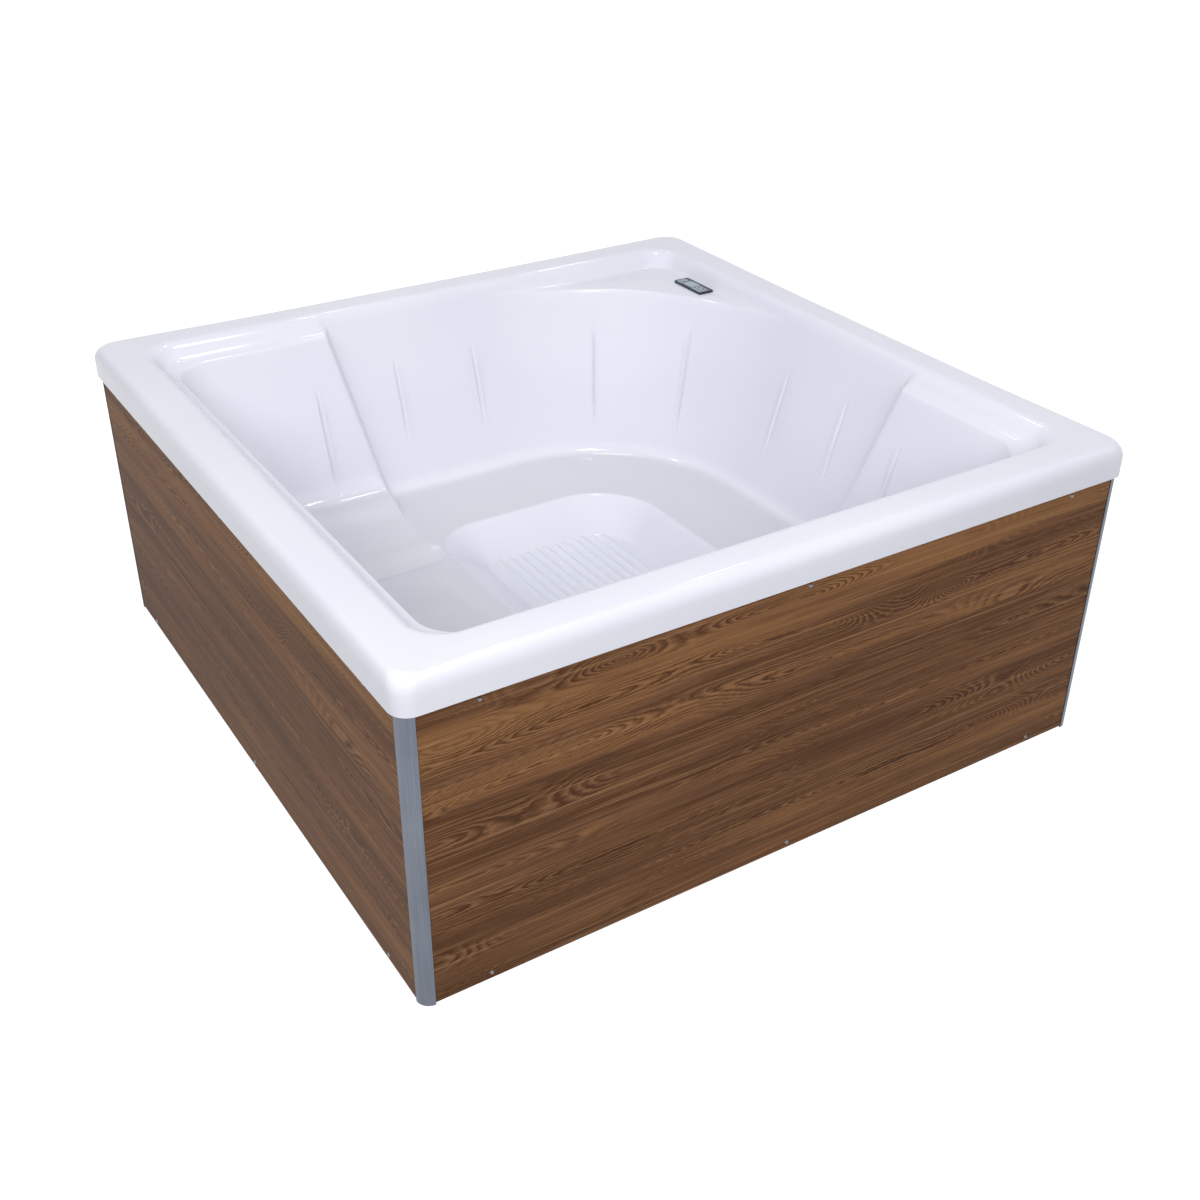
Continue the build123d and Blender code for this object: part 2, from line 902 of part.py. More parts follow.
socket_inner_y = half - panel_inset - socket_length
drain_tail_pipe = tube(
    [
        (drain_x, valve_y + valve_length / 2, drain_pipe_height),
        (drain_x, socket_inner_y, drain_pipe_height),
    ],
    pipe_bend,
    pipe_radius,
    pipe_bore,
)
save(drain_tail_pipe, "drain_tail_pipe")


# Hose sockets and mains gland in the back panel
for name, (x, z) in back_sockets.items():
    socket_plane = Plane(origin=(x, half - panel_inset, z), x_dir=(-1, 0, 0), z_dir=(0, 1, 0))
    with BuildPart() as socket:
        with BuildSketch(socket_plane):
            Circle(socket_flange_radius)
        extrude(amount=socket_flange_thickness)
        with BuildSketch(socket_plane):
            Circle(socket_body_radius)
        extrude(amount=-socket_length)
        with BuildSketch(socket_plane.offset(socket_flange_thickness)):
            Circle(socket_bore)
        extrude(amount=-socket_length - socket_flange_thickness, mode=Mode.SUBTRACT)
    save(socket, name)

gland_plane = Plane(
    origin=(gland_x, half - panel_inset, gland_z),
    x_dir=(-1, 0, 0),
    z_dir=(0, 1, 0),
)
with BuildPart() as mains_gland:
    with BuildSketch(gland_plane):
        Circle(gland_flange_radius)
    extrude(amount=socket_flange_thickness)
    with BuildSketch(gland_plane):
        Circle(gland_radius)
    extrude(amount=-gland_length)
    with BuildSketch(gland_plane.offset(socket_flange_thickness)):
        Circle(gland_bore)
    extrude(amount=-gland_length - socket_flange_thickness, mode=Mode.SUBTRACT)
save(mains_gland, "mains_gland")


# Wall fittings, their nuts, and the pipes to the pump and to the back panel
for name, plane in (("suction_fitting", suction_plane), ("return_fitting", return_plane)):
    with BuildPart() as fitting:
        with BuildSketch(plane):
            Circle(fitting_flange_radius)
        extrude(amount=fitting_flange_rise)
        rim = fitting.faces().sort_by(Axis((0, 0, 0), plane.z_dir))[-1]
        chamfer(rim.edges(), fitting_bevel)
        with BuildSketch(plane):
            Circle(fitting_body_radius)
        extrude(amount=-fitting_tail)
        with BuildSketch(plane.offset(-fitting_tail)):
            Circle(pipe_bore)
        extrude(amount=fitting_tail, mode=Mode.SUBTRACT)
        with BuildSketch(plane):
            if name == "suction_fitting":
                with GridLocations(fitting_slot_pitch, 0, 3, 1):
                    SlotOverall(fitting_slot_length, fitting_slot_width, rotation=90)
            else:
                Circle(return_nozzle)
        extrude(amount=fitting_flange_rise, mode=Mode.SUBTRACT)
    save(fitting, name)

with BuildPart() as fitting_nuts:
    for plane in (suction_plane, return_plane):
        with BuildSketch(plane.offset(-wall_skin)):
            RegularPolygon(fitting_nut_radius, nut_sides)
            Circle(fitting_body_radius + screw_clearance, mode=Mode.SUBTRACT)
        extrude(amount=-fitting_nut_height)
save(fitting_nuts, "fitting_nuts")

pump_inlet_y = pump_front + seal_plate_thickness + volute_length + inlet_spigot
outlet_y = pump_front + seal_plate_thickness + volute_length / 2
suction_pipe = tube(
    [
        tuple(suction_tail),
        (plumbing_x, suction_y, suction_turn_z),
        (plumbing_x, suction_y, pump_z),
        (plumbing_x, pump_inlet_y, pump_z),
    ],
    pipe_bend,
    pipe_radius,
    pipe_bore,
)
save(suction_pipe, "suction_pipe")

pressure_pipe = tube(
    [
        (plumbing_x, outlet_y, outlet_top),
        (plumbing_x, outlet_y, pressure_pipe_z),
        (plumbing_x, socket_inner_y, pressure_pipe_z),
    ],
    pipe_bend,
    pipe_radius,
    pipe_bore,
)
save(pressure_pipe, "pressure_pipe")

return_pipe = tube(
    [
        tuple(return_tail),
        (plumbing_x, return_y, return_turn_z),
        (plumbing_x, socket_inner_y, return_turn_z),
    ],
    pipe_bend,
    pipe_radius,
    pipe_bore,
)
save(return_pipe, "return_pipe")


# Circulation pump
with BuildPart() as pump_motor_case:
    with BuildSketch(pump_plane):
        Circle(motor_radius)
    extrude(amount=-motor_length)
    with BuildSketch(Plane.XY.offset(pump_z)):
        with Locations((plumbing_x, pump_front - motor_length / 2)):
            Rectangle(terminal_width, terminal_length)
    extrude(amount=terminal_height)
    with BuildSketch(pump_plane):
        Circle(rotor_core_radius + rotor_core_gap)
    extrude(amount=-rotor_core_length - 2 * rotor_end_gap, mode=Mode.SUBTRACT)
    with BuildSketch(pump_plane):
        Circle(shaft_radius + shaft_gap)
    extrude(amount=bearing_depth - motor_length, mode=Mode.SUBTRACT)
save(pump_motor_case, "pump_motor_case")

with BuildPart() as pump_seal_plate:
    with BuildSketch(pump_plane):
        Circle(motor_radius)
        Circle(shaft_radius + shaft_gap, mode=Mode.SUBTRACT)
    extrude(amount=seal_plate_thickness)
save(pump_seal_plate, "pump_seal_plate")

volute_plane = pump_plane.offset(seal_plate_thickness)
with BuildPart() as pump_volute:
    with BuildSketch(volute_plane):
        Circle(volute_radius)
    extrude(amount=volute_length)
    with BuildSketch(Plane.XY.offset(pump_z)):
        with Locations((plumbing_x, outlet_y)):
            Circle(pipe_radius)
    extrude(amount=outlet_top - pump_z)
    with BuildSketch(volute_plane):
        Circle(pipe_radius)
    extrude(amount=volute_length + inlet_spigot)
    with BuildSketch(volute_plane):
        Circle(chamber_radius)
    extrude(amount=chamber_depth, mode=Mode.SUBTRACT)
    with BuildSketch(volute_plane):
        Circle(pipe_bore)
    extrude(amount=volute_length + inlet_spigot, mode=Mode.SUBTRACT)
    with BuildSketch(Plane.XY.offset(pump_z)):
        with Locations((plumbing_x, outlet_y)):
            Circle(outlet_bore)
    extrude(amount=outlet_top - pump_z, mode=Mode.SUBTRACT)
save(pump_volute, "pump_volute")

impeller_start = seal_plate_thickness + (chamber_depth - impeller_thickness) / 2
with BuildPart() as pump_rotor:
    with BuildSketch(pump_plane.offset(-rotor_end_gap)):
        Circle(rotor_core_radius)
    extrude(amount=-rotor_core_length)
    with BuildSketch(pump_plane.offset(impeller_start + impeller_thickness)):
        Circle(shaft_radius)
    extrude(amount=bearing_depth + 1 - motor_length - impeller_start - impeller_thickness)
    with BuildSketch(pump_plane.offset(impeller_start)):
        Circle(impeller_radius)
    extrude(amount=impeller_back)
    with BuildSketch(pump_plane.offset(impeller_start)):
        Circle(impeller_hub)
        with PolarLocations(impeller_radius / 2, vane_count):
            Rectangle(impeller_radius - vane_width, vane_width)
    extrude(amount=impeller_thickness)
save(pump_rotor, "pump_rotor")

with BuildPart() as pump_bracket:
    with BuildSketch(Plane.XY.offset(tray_top)):
        with Locations((plumbing_x, pump_front - motor_length / 2)):
            Rectangle(bracket_width, bracket_length)
    extrude(amount=bracket_top - tray_top)
    with BuildSketch(pump_plane):
        Circle(motor_radius)
    extrude(amount=-motor_length, mode=Mode.SUBTRACT)
save(pump_bracket, "pump_bracket")


# Control box with its lid, and the two cables it holds
box_floor = Plane(origin=(box_x, box_y, tray_top))
box_top = tray_top + box_height
with BuildPart() as control_box:
    with BuildSketch(box_floor):
        RectangleRounded(box_length, box_width, box_corner)
    extrude(amount=box_height)
    with BuildSketch(box_floor.offset(box_wall)):
        Rectangle(box_length - 2 * box_wall, box_width - 2 * box_wall)
    extrude(amount=box_height, mode=Mode.SUBTRACT)
save(control_box, "control_box")

with BuildPart() as control_box_lid:
    with BuildSketch(box_floor.offset(box_height)):
        RectangleRounded(box_length, box_width, box_corner)
    extrude(amount=box_lid_thickness)
    with BuildSketch(box_floor.offset(box_height)):
        Rectangle(
            box_length - 2 * box_wall - 2 * drain_clearance,
            box_width - 2 * box_wall - 2 * drain_clearance,
        )
    extrude(amount=-box_lid_plug)
save(control_box_lid, "control_box_lid")

cable_wall_y = rail_inner - cable_wall_gap
keypad_cable = tube(
    [
        (controller_x, controller_y, ledge_height - controller_depth),
        (controller_x, controller_y, ledge_height - controller_depth - keypad_cable_drop),
        (controller_x, (controller_y + cable_wall_y) / 2, cable_run_z - keypad_cable_drop),
        (controller_x - keypad_cable_run, cable_wall_y, cable_run_z),
        (box_x, cable_wall_y, cable_run_z),
        (box_x, box_y, cable_run_z - box_cable_rise),
        (box_x, box_y, box_top + box_lid_thickness),
    ],
    cable_bend,
    cable_radius,
)
save(keypad_cable, "keypad_cable")

pump_cable_x = plumbing_x + motor_radius + pump_cable_gap
pump_cable_z = tray_top + cable_radius + cable_lift
terminal_y = pump_front - motor_length / 2
terminal_z = pump_z + terminal_height - terminal_cable_drop
box_front = box_y - box_width / 2
cable_exit_x = box_x - box_length / 2 + cable_exit_inset
pump_cable = tube(
    [
        (cable_exit_x, box_front, cable_exit_z),
        (cable_exit_x, box_front - cable_straight, cable_exit_z),
        (pump_cable_x, box_front - cable_straight - cable_slope_run, pump_cable_z),
        (pump_cable_x, terminal_y, pump_cable_z),
        (pump_cable_x, terminal_y, terminal_z),
        (plumbing_x + terminal_width / 2, terminal_y, terminal_z),
    ],
    cable_bend,
    cable_radius,
)
save(pump_cable, "pump_cable")

with BuildPart() as cable_clips:
    with BuildSketch(Plane.YZ.offset(-clip_size / 2 - clip_spacing * (clip_count - 1) / 2)):
        with Locations((rail_inner, cable_run_z)):
            Rectangle(clip_size + clip_lip, clip_size, align=(Align.MAX, Align.CENTER))
        with Locations((cable_wall_y, cable_run_z)):
            Circle(cable_radius + cable_lift, mode=Mode.SUBTRACT)
    extrude(amount=clip_size)
    first_clip = cable_clips.part
    for number in range(1, clip_count):
        with Locations((number * clip_spacing, 0, 0)):
            add(first_clip)
save(cable_clips, "cable_clips")
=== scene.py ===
import bpy
import bmesh
from math import sin, cos, pi, radians, exp, sqrt, tan, acos
from mathutils import Vector, Matrix


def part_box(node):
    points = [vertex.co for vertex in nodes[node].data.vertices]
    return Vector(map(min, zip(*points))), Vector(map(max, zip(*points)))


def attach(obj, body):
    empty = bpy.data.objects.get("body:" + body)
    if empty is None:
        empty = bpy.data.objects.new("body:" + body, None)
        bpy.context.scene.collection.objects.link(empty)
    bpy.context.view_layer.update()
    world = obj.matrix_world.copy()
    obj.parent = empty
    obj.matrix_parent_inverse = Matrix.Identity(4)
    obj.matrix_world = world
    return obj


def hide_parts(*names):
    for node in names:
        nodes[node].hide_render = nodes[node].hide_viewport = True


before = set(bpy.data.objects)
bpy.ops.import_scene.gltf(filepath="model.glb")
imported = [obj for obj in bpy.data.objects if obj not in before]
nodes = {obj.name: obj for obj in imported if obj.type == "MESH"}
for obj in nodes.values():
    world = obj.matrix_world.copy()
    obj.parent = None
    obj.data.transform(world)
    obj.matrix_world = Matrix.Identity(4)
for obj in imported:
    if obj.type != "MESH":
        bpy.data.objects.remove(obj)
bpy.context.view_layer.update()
mm = 0.001
print("frame loaded,", len(nodes), "nodes")


# small helpers for numbers

def mix(a, b, t):
    return a + (b - a) * t


def smooth(low, high, value):
    t = min(max((value - low) / (high - low), 0), 1)
    return t * t * (3 - 2 * t)


def bell(value, width):
    return exp(-((value / width) ** 2))


# the tub's moulded shell, all in millimetres as on the real one
shell = {
    "half": 750,
    "skin": 6,
    "lipBottom": 577, "top": 640, "lipCorner": 34, "rimRound": 33,
    "openingInset": 86, "openingCorner": 70, "openingRound": 36,
    "ledgeHeight": 600, "slopeFoot": 607, "slopeInset": 109, "ledgeInset": 104, "ledgeCorner": 52, "ledgeHollow": 28,
    "farOpeningRound": 24, "farHollow": 12, "ledgeFrom": 0.04, "ledgeWhole": 0.5,
    "benchTopInset": 128, "benchTopCorner": 80, "benchEdge": 13,
    "benchFootInset": 244, "benchFootCorner": 110, "benchFootRound": 60,
    "seat": 222,
    "backTop": 626, "backTopInset": 93, "backFootInset": 213, "backFootRound": 40,
    "backEndTop": -266, "backEndFoot": -188, "stepWidth": 11,
    "ledgeFrontEdge": 15, "arcCentre": 150,
    "benchRise": 1 / 6, "benchLevelAt": 300, "benchMost": 262,
    "dip": 17, "blockEdge": 205,
    "wellLow": -195, "wellHigh": 312, "wellCorner": 110, "wellEdge": 11, "wellSideEdge": 60,
    "floor": 143, "floorLow": -88, "floorHigh": 250, "floorCorner": 20, "floorRound": 12,
    "grooveAt": -253, "grooveDepth": 5, "grooveWidth": 11,
    "stepTurn": (-229, 252),
}
s = shell

# soft creases between the back pads: zone, place in it, low and high end, half width
creases = {
    "corner": {"at": 64.5, "low": 400, "high": 480, "deep": 3, "pad": 0},
    "back": {"at": -316, "low": 285, "high": 475, "deep": 5.5, "pad": 0},
    "rest": {"at": (-110, 90), "low": 350, "high": 490, "deep": 4.6, "pad": 3.5},
    "far": {"at": 30.5, "low": 300, "high": 508, "deep": 4.6, "pad": 3.5},
    "width": 2.6, "lip": 0.5, "columns": 9, "fade": 70, "padFade": 170,
}

# columns of the shell's mesh round one half of the tub: zone, knots, steps between them
columnPlan = [
    ("near", (0, 1), (10,)),
    ("left", (0, 1, 2, 3), (12, 8, 8)),
    ("corner", (0, 0.62, 0.8, 1), (9, 10, 5)),
    ("back", (0, 1, 2, 3), (8, 12, 6)),
    ("step", (0, 1), (10,)),
    ("rest", (0, 1, 2, 3, 4, 5), (8, 12, 10, 12, 4)),
    ("far", (0, 0.64, 0.715, 1), (14, 14, 8)),
]


def columnStations():
    found = []
    for zone, knots, steps in columnPlan:
        for low, high, count in zip(knots, knots[1:], steps):
            for i in range(count):
                found.append((zone, mix(low, high, i / count)))
    found.append(("far", 1))
    return found


# value at t on a run of straight pieces between whole-number knots
def knotPlace(t, places):
    i = min(int(t), len(places) - 2)
    return mix(places[i], places[i + 1], t - i)


# where the backrest ends, at height z
def stepLine(z):
    t = (z - s["seat"]) / (s["backTop"] - s["seat"])
    return mix(s["backEndFoot"], s["backEndTop"], t)


def backInset(z):
    t = (z - s["seat"]) / (s["backTop"] - s["seat"])
    return mix(s["backFootInset"], s["backTopInset"], t)


def benchInset(z):
    t = (z - s["seat"]) / (s["ledgeHeight"] - s["seat"])
    return mix(s["benchFootInset"], s["benchTopInset"], t)


# plan position of a column on a rounded square, or on the far corner's big arc
def outline(station, inset, corner, z, arc):
    zone, t = station
    a = s["half"] - inset
    c = a - corner
    if zone == "near":
        turn = radians(225 - 45 * t)
        return Vector((-c + corner * cos(turn), -c + corner * sin(turn)))
    if zone == "left":
        edge = s["blockEdge"]
        return Vector((-a, knotPlace(t, (-c, edge - 30, edge + 30, c))))
    if zone == "corner":
        turn = radians(180 - 90 * t)
        return Vector((-c + corner * cos(turn), c + corner * sin(turn)))
    if zone == "back":
        crease = creases["back"]["at"]
        end = stepLine(z) - s["stepWidth"]
        near = creases["columns"]
        return Vector((knotPlace(t, (-c, crease - near, crease + near, end)), a))
    if zone == "step":
        return Vector((stepLine(z) + mix(-1, 1, t) * s["stepWidth"], a))
    if zone == "rest":
        first, second = creases["rest"]["at"]
        start = stepLine(z) + s["stepWidth"]
        near = creases["columns"]
        knots = (start, first - near, first + near, second - near, second + near,
                 s["arcCentre"])
        return Vector((knotPlace(t, knots), a))
    if arc:
        turn = radians(90 - 45 * t)
        radius = s["half"] - s["arcCentre"] - inset
        return Vector((s["arcCentre"] + radius * cos(turn), s["arcCentre"] + radius * sin(turn)))
    straight = 0.7
    if t < straight:
        return Vector((mix(s["arcCentre"], c, t / straight), a))
    turn = radians(90 - 45 * (t - straight) / (1 - straight))
    return Vector((c + corner * cos(turn), c + corner * sin(turn)))


# plan position of a column on the footwell's outline
def wellPoint(station, low, high, corner, farCorner):
    zone, t = station
    c = low + corner
    d = high - corner
    edge = s["blockEdge"]
    if zone == "near":
        turn = radians(225 - 45 * t)
        return Vector((c + corner * cos(turn), c + corner * sin(turn)))
    if zone == "left" and t <= 2:
        return Vector((low, knotPlace(t, (c, min(edge, d) - 8, min(edge, d)))))
    f = {"left": 0, "corner": 0.35, "back": 0.65, "step": 0.85, "rest": 1}.get(zone, 0)
    if zone in ("left", "corner", "back", "step"):
        # the bench's columns all meet the footwell near its left-back corner
        part = {"left": t - 2, "corner": t, "back": t / 3, "step": t}[zone]
        ends = {"left": 0.35, "corner": 0.65, "back": 0.85, "step": 1}
        f = mix(f, ends[zone], part)
        start = min(edge, d)
        run = d - start + corner * radians(30)
        along = run * f
        if along <= d - start:
            return Vector((low, start + along))
        turn = pi - (along - (d - start)) / corner
        return Vector((c + corner * cos(turn), d + corner * sin(turn)))
    if zone == "rest":
        turned = 0.45
        part = t / 5
        farStart = high - farCorner
        if part < turned:
            turn = radians(150 - 60 * part / turned)
            return Vector((c + corner * cos(turn), d + corner * sin(turn)))
        return Vector((mix(c, farStart, (part - turned) / (1 - turned)), high))
    turn = radians(90 - 45 * t)
    middle = high - farCorner
    return Vector((middle + farCorner * cos(turn), middle + farCorner * sin(turn)))


# 1 on the bench, 0 on the near block and on the seat, soft on the steps between
def benchSide(station):
    zone, t = station
    if zone == "left":
        return smooth(1, 2, t)
    if zone in ("corner", "back"):
        return 1
    return 1 - smooth(0, 1, t) if zone == "step" else 0


# height of the bench, seat or near block
def floorHeight(station, x, y):
    bench = s["benchRise"] * max(y - s["benchLevelAt"], 0)
    bench = min(bench, s["benchMost"] - s["seat"])
    past = (s["benchLevelAt"] - y) / (s["benchLevelAt"] - s["blockEdge"])
    bench -= s["dip"] * smooth(0, 1, past) * smooth(-184, -214, x)
    g = x - s["grooveAt"]
    length = smooth(150, 100, y) * smooth(-330, -200, y)
    groove = s["grooveDepth"] * bell(g, s["grooveWidth"])
    groove += 2.5 * smooth(0, -12, g) * smooth(-150, -20, g)
    side = benchSide(station)
    return s["seat"] + side * bench - (1 - side) * groove * length


# how far the wall is pushed out of the tub here, by the pads and their creases
def creasePush(station, x, y, z):
    zone, t = station
    k = creases.get(zone)
    if k is None:
        return 0
    if zone == "corner":
        radius = 93
        away = [(90 * t - k["at"]) * radians(1) * radius]
        pad = smooth(0, 90, away[0])
    elif zone == "back":
        away = [x - k["at"]]
        pad = smooth(2, -26, away[0])
    elif zone == "rest":
        away = [x - at for at in k["at"]]
        pad = smooth(-2, 26, away[0]) * smooth(2, -26, away[1])
    else:
        away = [(45 * t - k["at"]) * radians(1) * 440]
        pad = smooth(-2, 26, away[0])
    w = creases["width"]
    dent = sum(bell(v, w) - creases["lip"] * bell(v - 2.2 * w, 1.3 * w) for v in away)
    return (k["deep"] * dent * heightSpan(k, creases["fade"], z)
            - k["pad"] * pad * heightSpan(k, creases["padFade"], z))


# 1 between a crease's two ends, running out softly past them
def heightSpan(crease, fade, z):
    return (smooth(crease["low"] - fade / 2, crease["low"] + fade / 2, z)
            * smooth(crease["high"] + fade / 2, crease["high"] - fade / 2, z))


# points on an arc that rounds the corner at a point
def cornerArc(before, at, after, radius, count):
    u = before - at
    w = after - at
    lengthU, lengthW = u.length, w.length
    u.normalize()
    w.normalize()
    between = u.angle(w)
    if pi - between < 0.01:
        reach = min(radius * 0.2, 0.3 * lengthU, 0.3 * lengthW)
        a, b = at + u * reach, at + w * reach
        return [a.lerp(b, i / count) for i in range(count + 1)]
    reach = min(radius / tan(between / 2), 0.45 * lengthU, 0.53 * lengthW)
    real = reach * tan(between / 2)
    centre = at + (u + w).normalized() * (real / sin(between / 2))
    a = at + u * reach - centre
    b = at + w * reach - centre
    swing = a.angle(b)
    found = []
    for i in range(count + 1):
        f = i / count
        found.append(centre + (a * sin((1 - f) * swing) + b * sin(f * swing)) / sin(swing))
    return found


def runTo(points, target, count):
    start = points[-1]
    points += [start.lerp(target, (i + 1) / count) for i in range(count)]


# one column of the shell, from the lip's lower edge to the middle of the footwell
def columnPoints(station):
    zone, t = station
    back = 1 - benchSide(station) if zone in ("step", "rest", "far") else 0
    ledge = smooth(s["ledgeFrom"], s["ledgeWhole"], t) if zone == "far" else 0

    def at(z, inset, corner, arc=False):
        p = outline(station, inset, corner, z, arc)
        return Vector((p.x, p.y, z))

    lip = at(s["lipBottom"], 0, s["lipCorner"])
    rim = at(s["top"], 0, s["lipCorner"])
    opening = at(s["top"], s["openingInset"], s["openingCorner"])
    hollowZ = mix(mix(s["slopeFoot"], 615, back), s["ledgeHeight"], ledge)
    hollowInset = mix(mix(s["slopeInset"], backInset(615), back), s["ledgeInset"], ledge)
    hollow = at(hollowZ, hollowInset, s["ledgeCorner"])
    frontZ = mix(mix(s["ledgeHeight"], 604, back), s["ledgeHeight"], ledge)
    frontInset = mix(s["benchTopInset"], backInset(frontZ), back)
    front = at(frontZ, frontInset, s["benchTopCorner"], arc=True)

    # the wall meets whatever floor is under it
    foot = at(s["seat"], mix(s["benchFootInset"], s["backFootInset"], back),
              s["benchFootCorner"], arc=True)
    footZ = floorHeight(station, foot.x, foot.y)
    benchFoot = benchInset(footZ)
    foot = at(footZ, mix(benchFoot, s["backFootInset"], back), s["benchFootCorner"], arc=True)

    edge = wellPoint(station, s["wellLow"], s["wellHigh"], s["wellCorner"],
                     s["wellHigh"] - s["arcCentre"])
    low = wellPoint(station, s["floorLow"], s["floorHigh"], s["floorCorner"],
                    s["floorHigh"] - s["arcCentre"])
    edge = Vector((edge.x, edge.y, s["seat"]))
    low = Vector((low.x, low.y, s["floor"]))
    centre = (s["floorLow"] + s["floorHigh"]) / 2
    centre = Vector((centre, centre, s["floor"]))

    # the floor's columns bend towards the end of the step between bench and seat
    bend = (foot + edge) / 2
    pull = {"corner": smooth(0.2, 1, t) * 0.6, "back": mix(0.6, 1, t / 3), "step": 1,
            "rest": smooth(2.4, 0, t)}.get(zone, 0)
    turn = Vector((s["stepTurn"][0], s["stepTurn"][1], s["seat"]))
    if zone == "step":
        turn.x += mix(-1, 1, t) * s["stepWidth"]
    elif zone == "rest":
        turn.x += s["stepWidth"]
    elif zone in ("back", "corner"):
        turn.x -= s["stepWidth"]
    bend = bend.lerp(turn, pull)
    ahead = Vector((bend.x, bend.y, footZ))
    reachOut = (ahead - foot).normalized()

    points = [lip]
    footRound = mix(s["benchFootRound"], s["backFootRound"], back)
    frontRound = mix(mix(s["benchEdge"], 4, back), s["ledgeFrontEdge"], ledge)
    arc = cornerArc(lip, rim, opening, s["rimRound"], 8)
    runTo(points, arc[0], 2)
    points += arc[1:]
    arc = cornerArc(rim, opening, hollow, mix(s["openingRound"], s["farOpeningRound"], ledge), 6)
    runTo(points, arc[0], 2)
    points += arc[1:]
    arc = cornerArc(opening, hollow, front, mix(s["ledgeHollow"], s["farHollow"], ledge), 5)
    runTo(points, arc[0], 2)
    points += arc[1:]
    arc = cornerArc(hollow, front, foot, frontRound, 5)
    runTo(points, arc[0], 2)
    points += arc[1:]
    wallStart = len(points)
    arc = cornerArc(front, foot, foot + reachOut * 90, footRound, 8)
    runTo(points, arc[0], 24)
    points += arc[1:]

    # pads and creases move the wall level with the floor, in or out
    for p in points[wallStart:]:
        out = foot.xy - centre.xy
        if zone in ("back", "rest"):
            out = Vector((0, 1))
        elif zone == "far":
            out = Vector((p.x - s["arcCentre"], p.y - s["arcCentre"]))
        push = creasePush(station, p.x, p.y, p.z)
        out.normalize()
        p.x += out.x * push
        p.y += out.y * push

    # floor, along a curve that meets the footwell's edge squarely
    start = points[-1].copy()
    square = edge - low
    square.z = 0
    square.normalize()
    side = {"near": 1, "left": 1 - smooth(1.6, 2.6, t)}.get(zone, 0)
    edgeRound = mix(s["wellEdge"], s["wellSideEdge"], side)
    wellArc = cornerArc(edge + square * 60, edge, low, edgeRound, 7)
    end = wellArc[0]
    ahead = end + square * min(45, (end - bend).length * 0.5)
    count = 26
    for i in range(1, count):
        f = i / count
        g = 1 - f
        p = start * g ** 3 + bend * 3 * f * g * g + ahead * 3 * f * f * g + end * f ** 3
        level = floorHeight(station, p.x, p.y)
        joined = mix(start.z, level, smooth(0, 0.12, f))
        points.append(Vector((p.x, p.y, mix(joined, end.z, smooth(0.9, 1, f)))))
    points += wellArc
    arc = cornerArc(edge, low, centre, s["floorRound"], 5)
    runTo(points, arc[0], 8)
    points += arc[1:]
    runTo(points, points[-1].lerp(centre, 0.85), 5)
    return points


def newPiece(name, bm, material, smoothAngle=35):
    mesh = bpy.data.meshes.new(name)
    bm.to_mesh(mesh)
    bm.free()
    piece = bpy.data.objects.new(name, mesh)
    bpy.context.scene.collection.objects.link(piece)
    piece.data.materials.append(material)
    mesh.shade_smooth()
    if smoothAngle:
        mesh.set_sharp_from_angle(angle=radians(smoothAngle))
    return piece


# applies the piece's modifiers
def keepModified(piece):
    graph = bpy.context.evaluated_depsgraph_get()
    mesh = bpy.data.meshes.new_from_object(piece.evaluated_get(graph))
    piece.modifiers.clear()
    piece.data = mesh


# materials

# sRGB hex to linear RGBA
def linear(hexText):
    parts = [int(hexText[i:i + 2], 16) / 255 for i in (1, 3, 5)]
    return [v / 12.92 if v <= 0.04045 else ((v + 0.055) / 1.055) ** 2.4 for v in parts] + [1]


# adds a node with its settings, and its inputs as values or links
def add(tree, kind, inputs=None, **settings):
    new = tree.nodes.new(kind)
    for name, value in settings.items():
        setattr(new, name, value)
    for name, value in (inputs or {}).items():
        if isinstance(value, bpy.types.NodeSocket):
            tree.links.new(value, new.inputs[name])
        else:
            new.inputs[name].default_value = value
    return new


def newMaterial(name):
    material = bpy.data.materials.new(name)
    material.use_nodes = True
    tree = material.node_tree
    shader = tree.nodes["Principled BSDF"]
    place = add(tree, "ShaderNodeTexCoord").outputs["Object"]
    return material, tree, shader, place


# colour ramp from (place, hex or grey) stops
def ramp(tree, value, stops):
    new = add(tree, "ShaderNodeValToRGB", {"Fac": value})
    band = new.color_ramp
    while len(band.elements) < len(stops):
        band.elements.new(0.5)
    for element, (where, tone) in zip(band.elements, stops):
        element.position = where
        element.color = linear(tone) if isinstance(tone, str) else (tone, tone, tone, 1)
    return new.outputs["Color"]


# moulded plastic or rubber: a faint cloud in its colour and a fine surface grain, in mm
def mouldedPlastic(name, light, dark, roughness, grain, bump=0.1, ior=1.5, coat=0):
    material, tree, shader, place = newMaterial(name)
    cloud = add(tree, "ShaderNodeTexNoise", {"Vector": place, "Scale": 9, "Detail": 3})
    colour = ramp(tree, cloud.outputs["Fac"], ((0.3, dark), (0.7, light)))
    fine = add(tree, "ShaderNodeTexNoise", {"Vector": place, "Scale": 1 / (grain * mm), "Detail": 2})
    rough = add(tree, "ShaderNodeMapRange", {
        "Value": fine.outputs["Fac"], "To Min": roughness * 0.85, "To Max": roughness * 1.15})
    height = add(tree, "ShaderNodeBump", {
        "Height": fine.outputs["Fac"], "Strength": bump, "Distance": 0.2 * mm})
    tree.links.new(colour, shader.inputs["Base Color"])
    tree.links.new(rough.outputs["Result"], shader.inputs["Roughness"])
    tree.links.new(height.outputs["Normal"], shader.inputs["Normal"])
    shader.inputs["IOR"].default_value = ior
    shader.inputs["Coat Weight"].default_value = coat
    return material


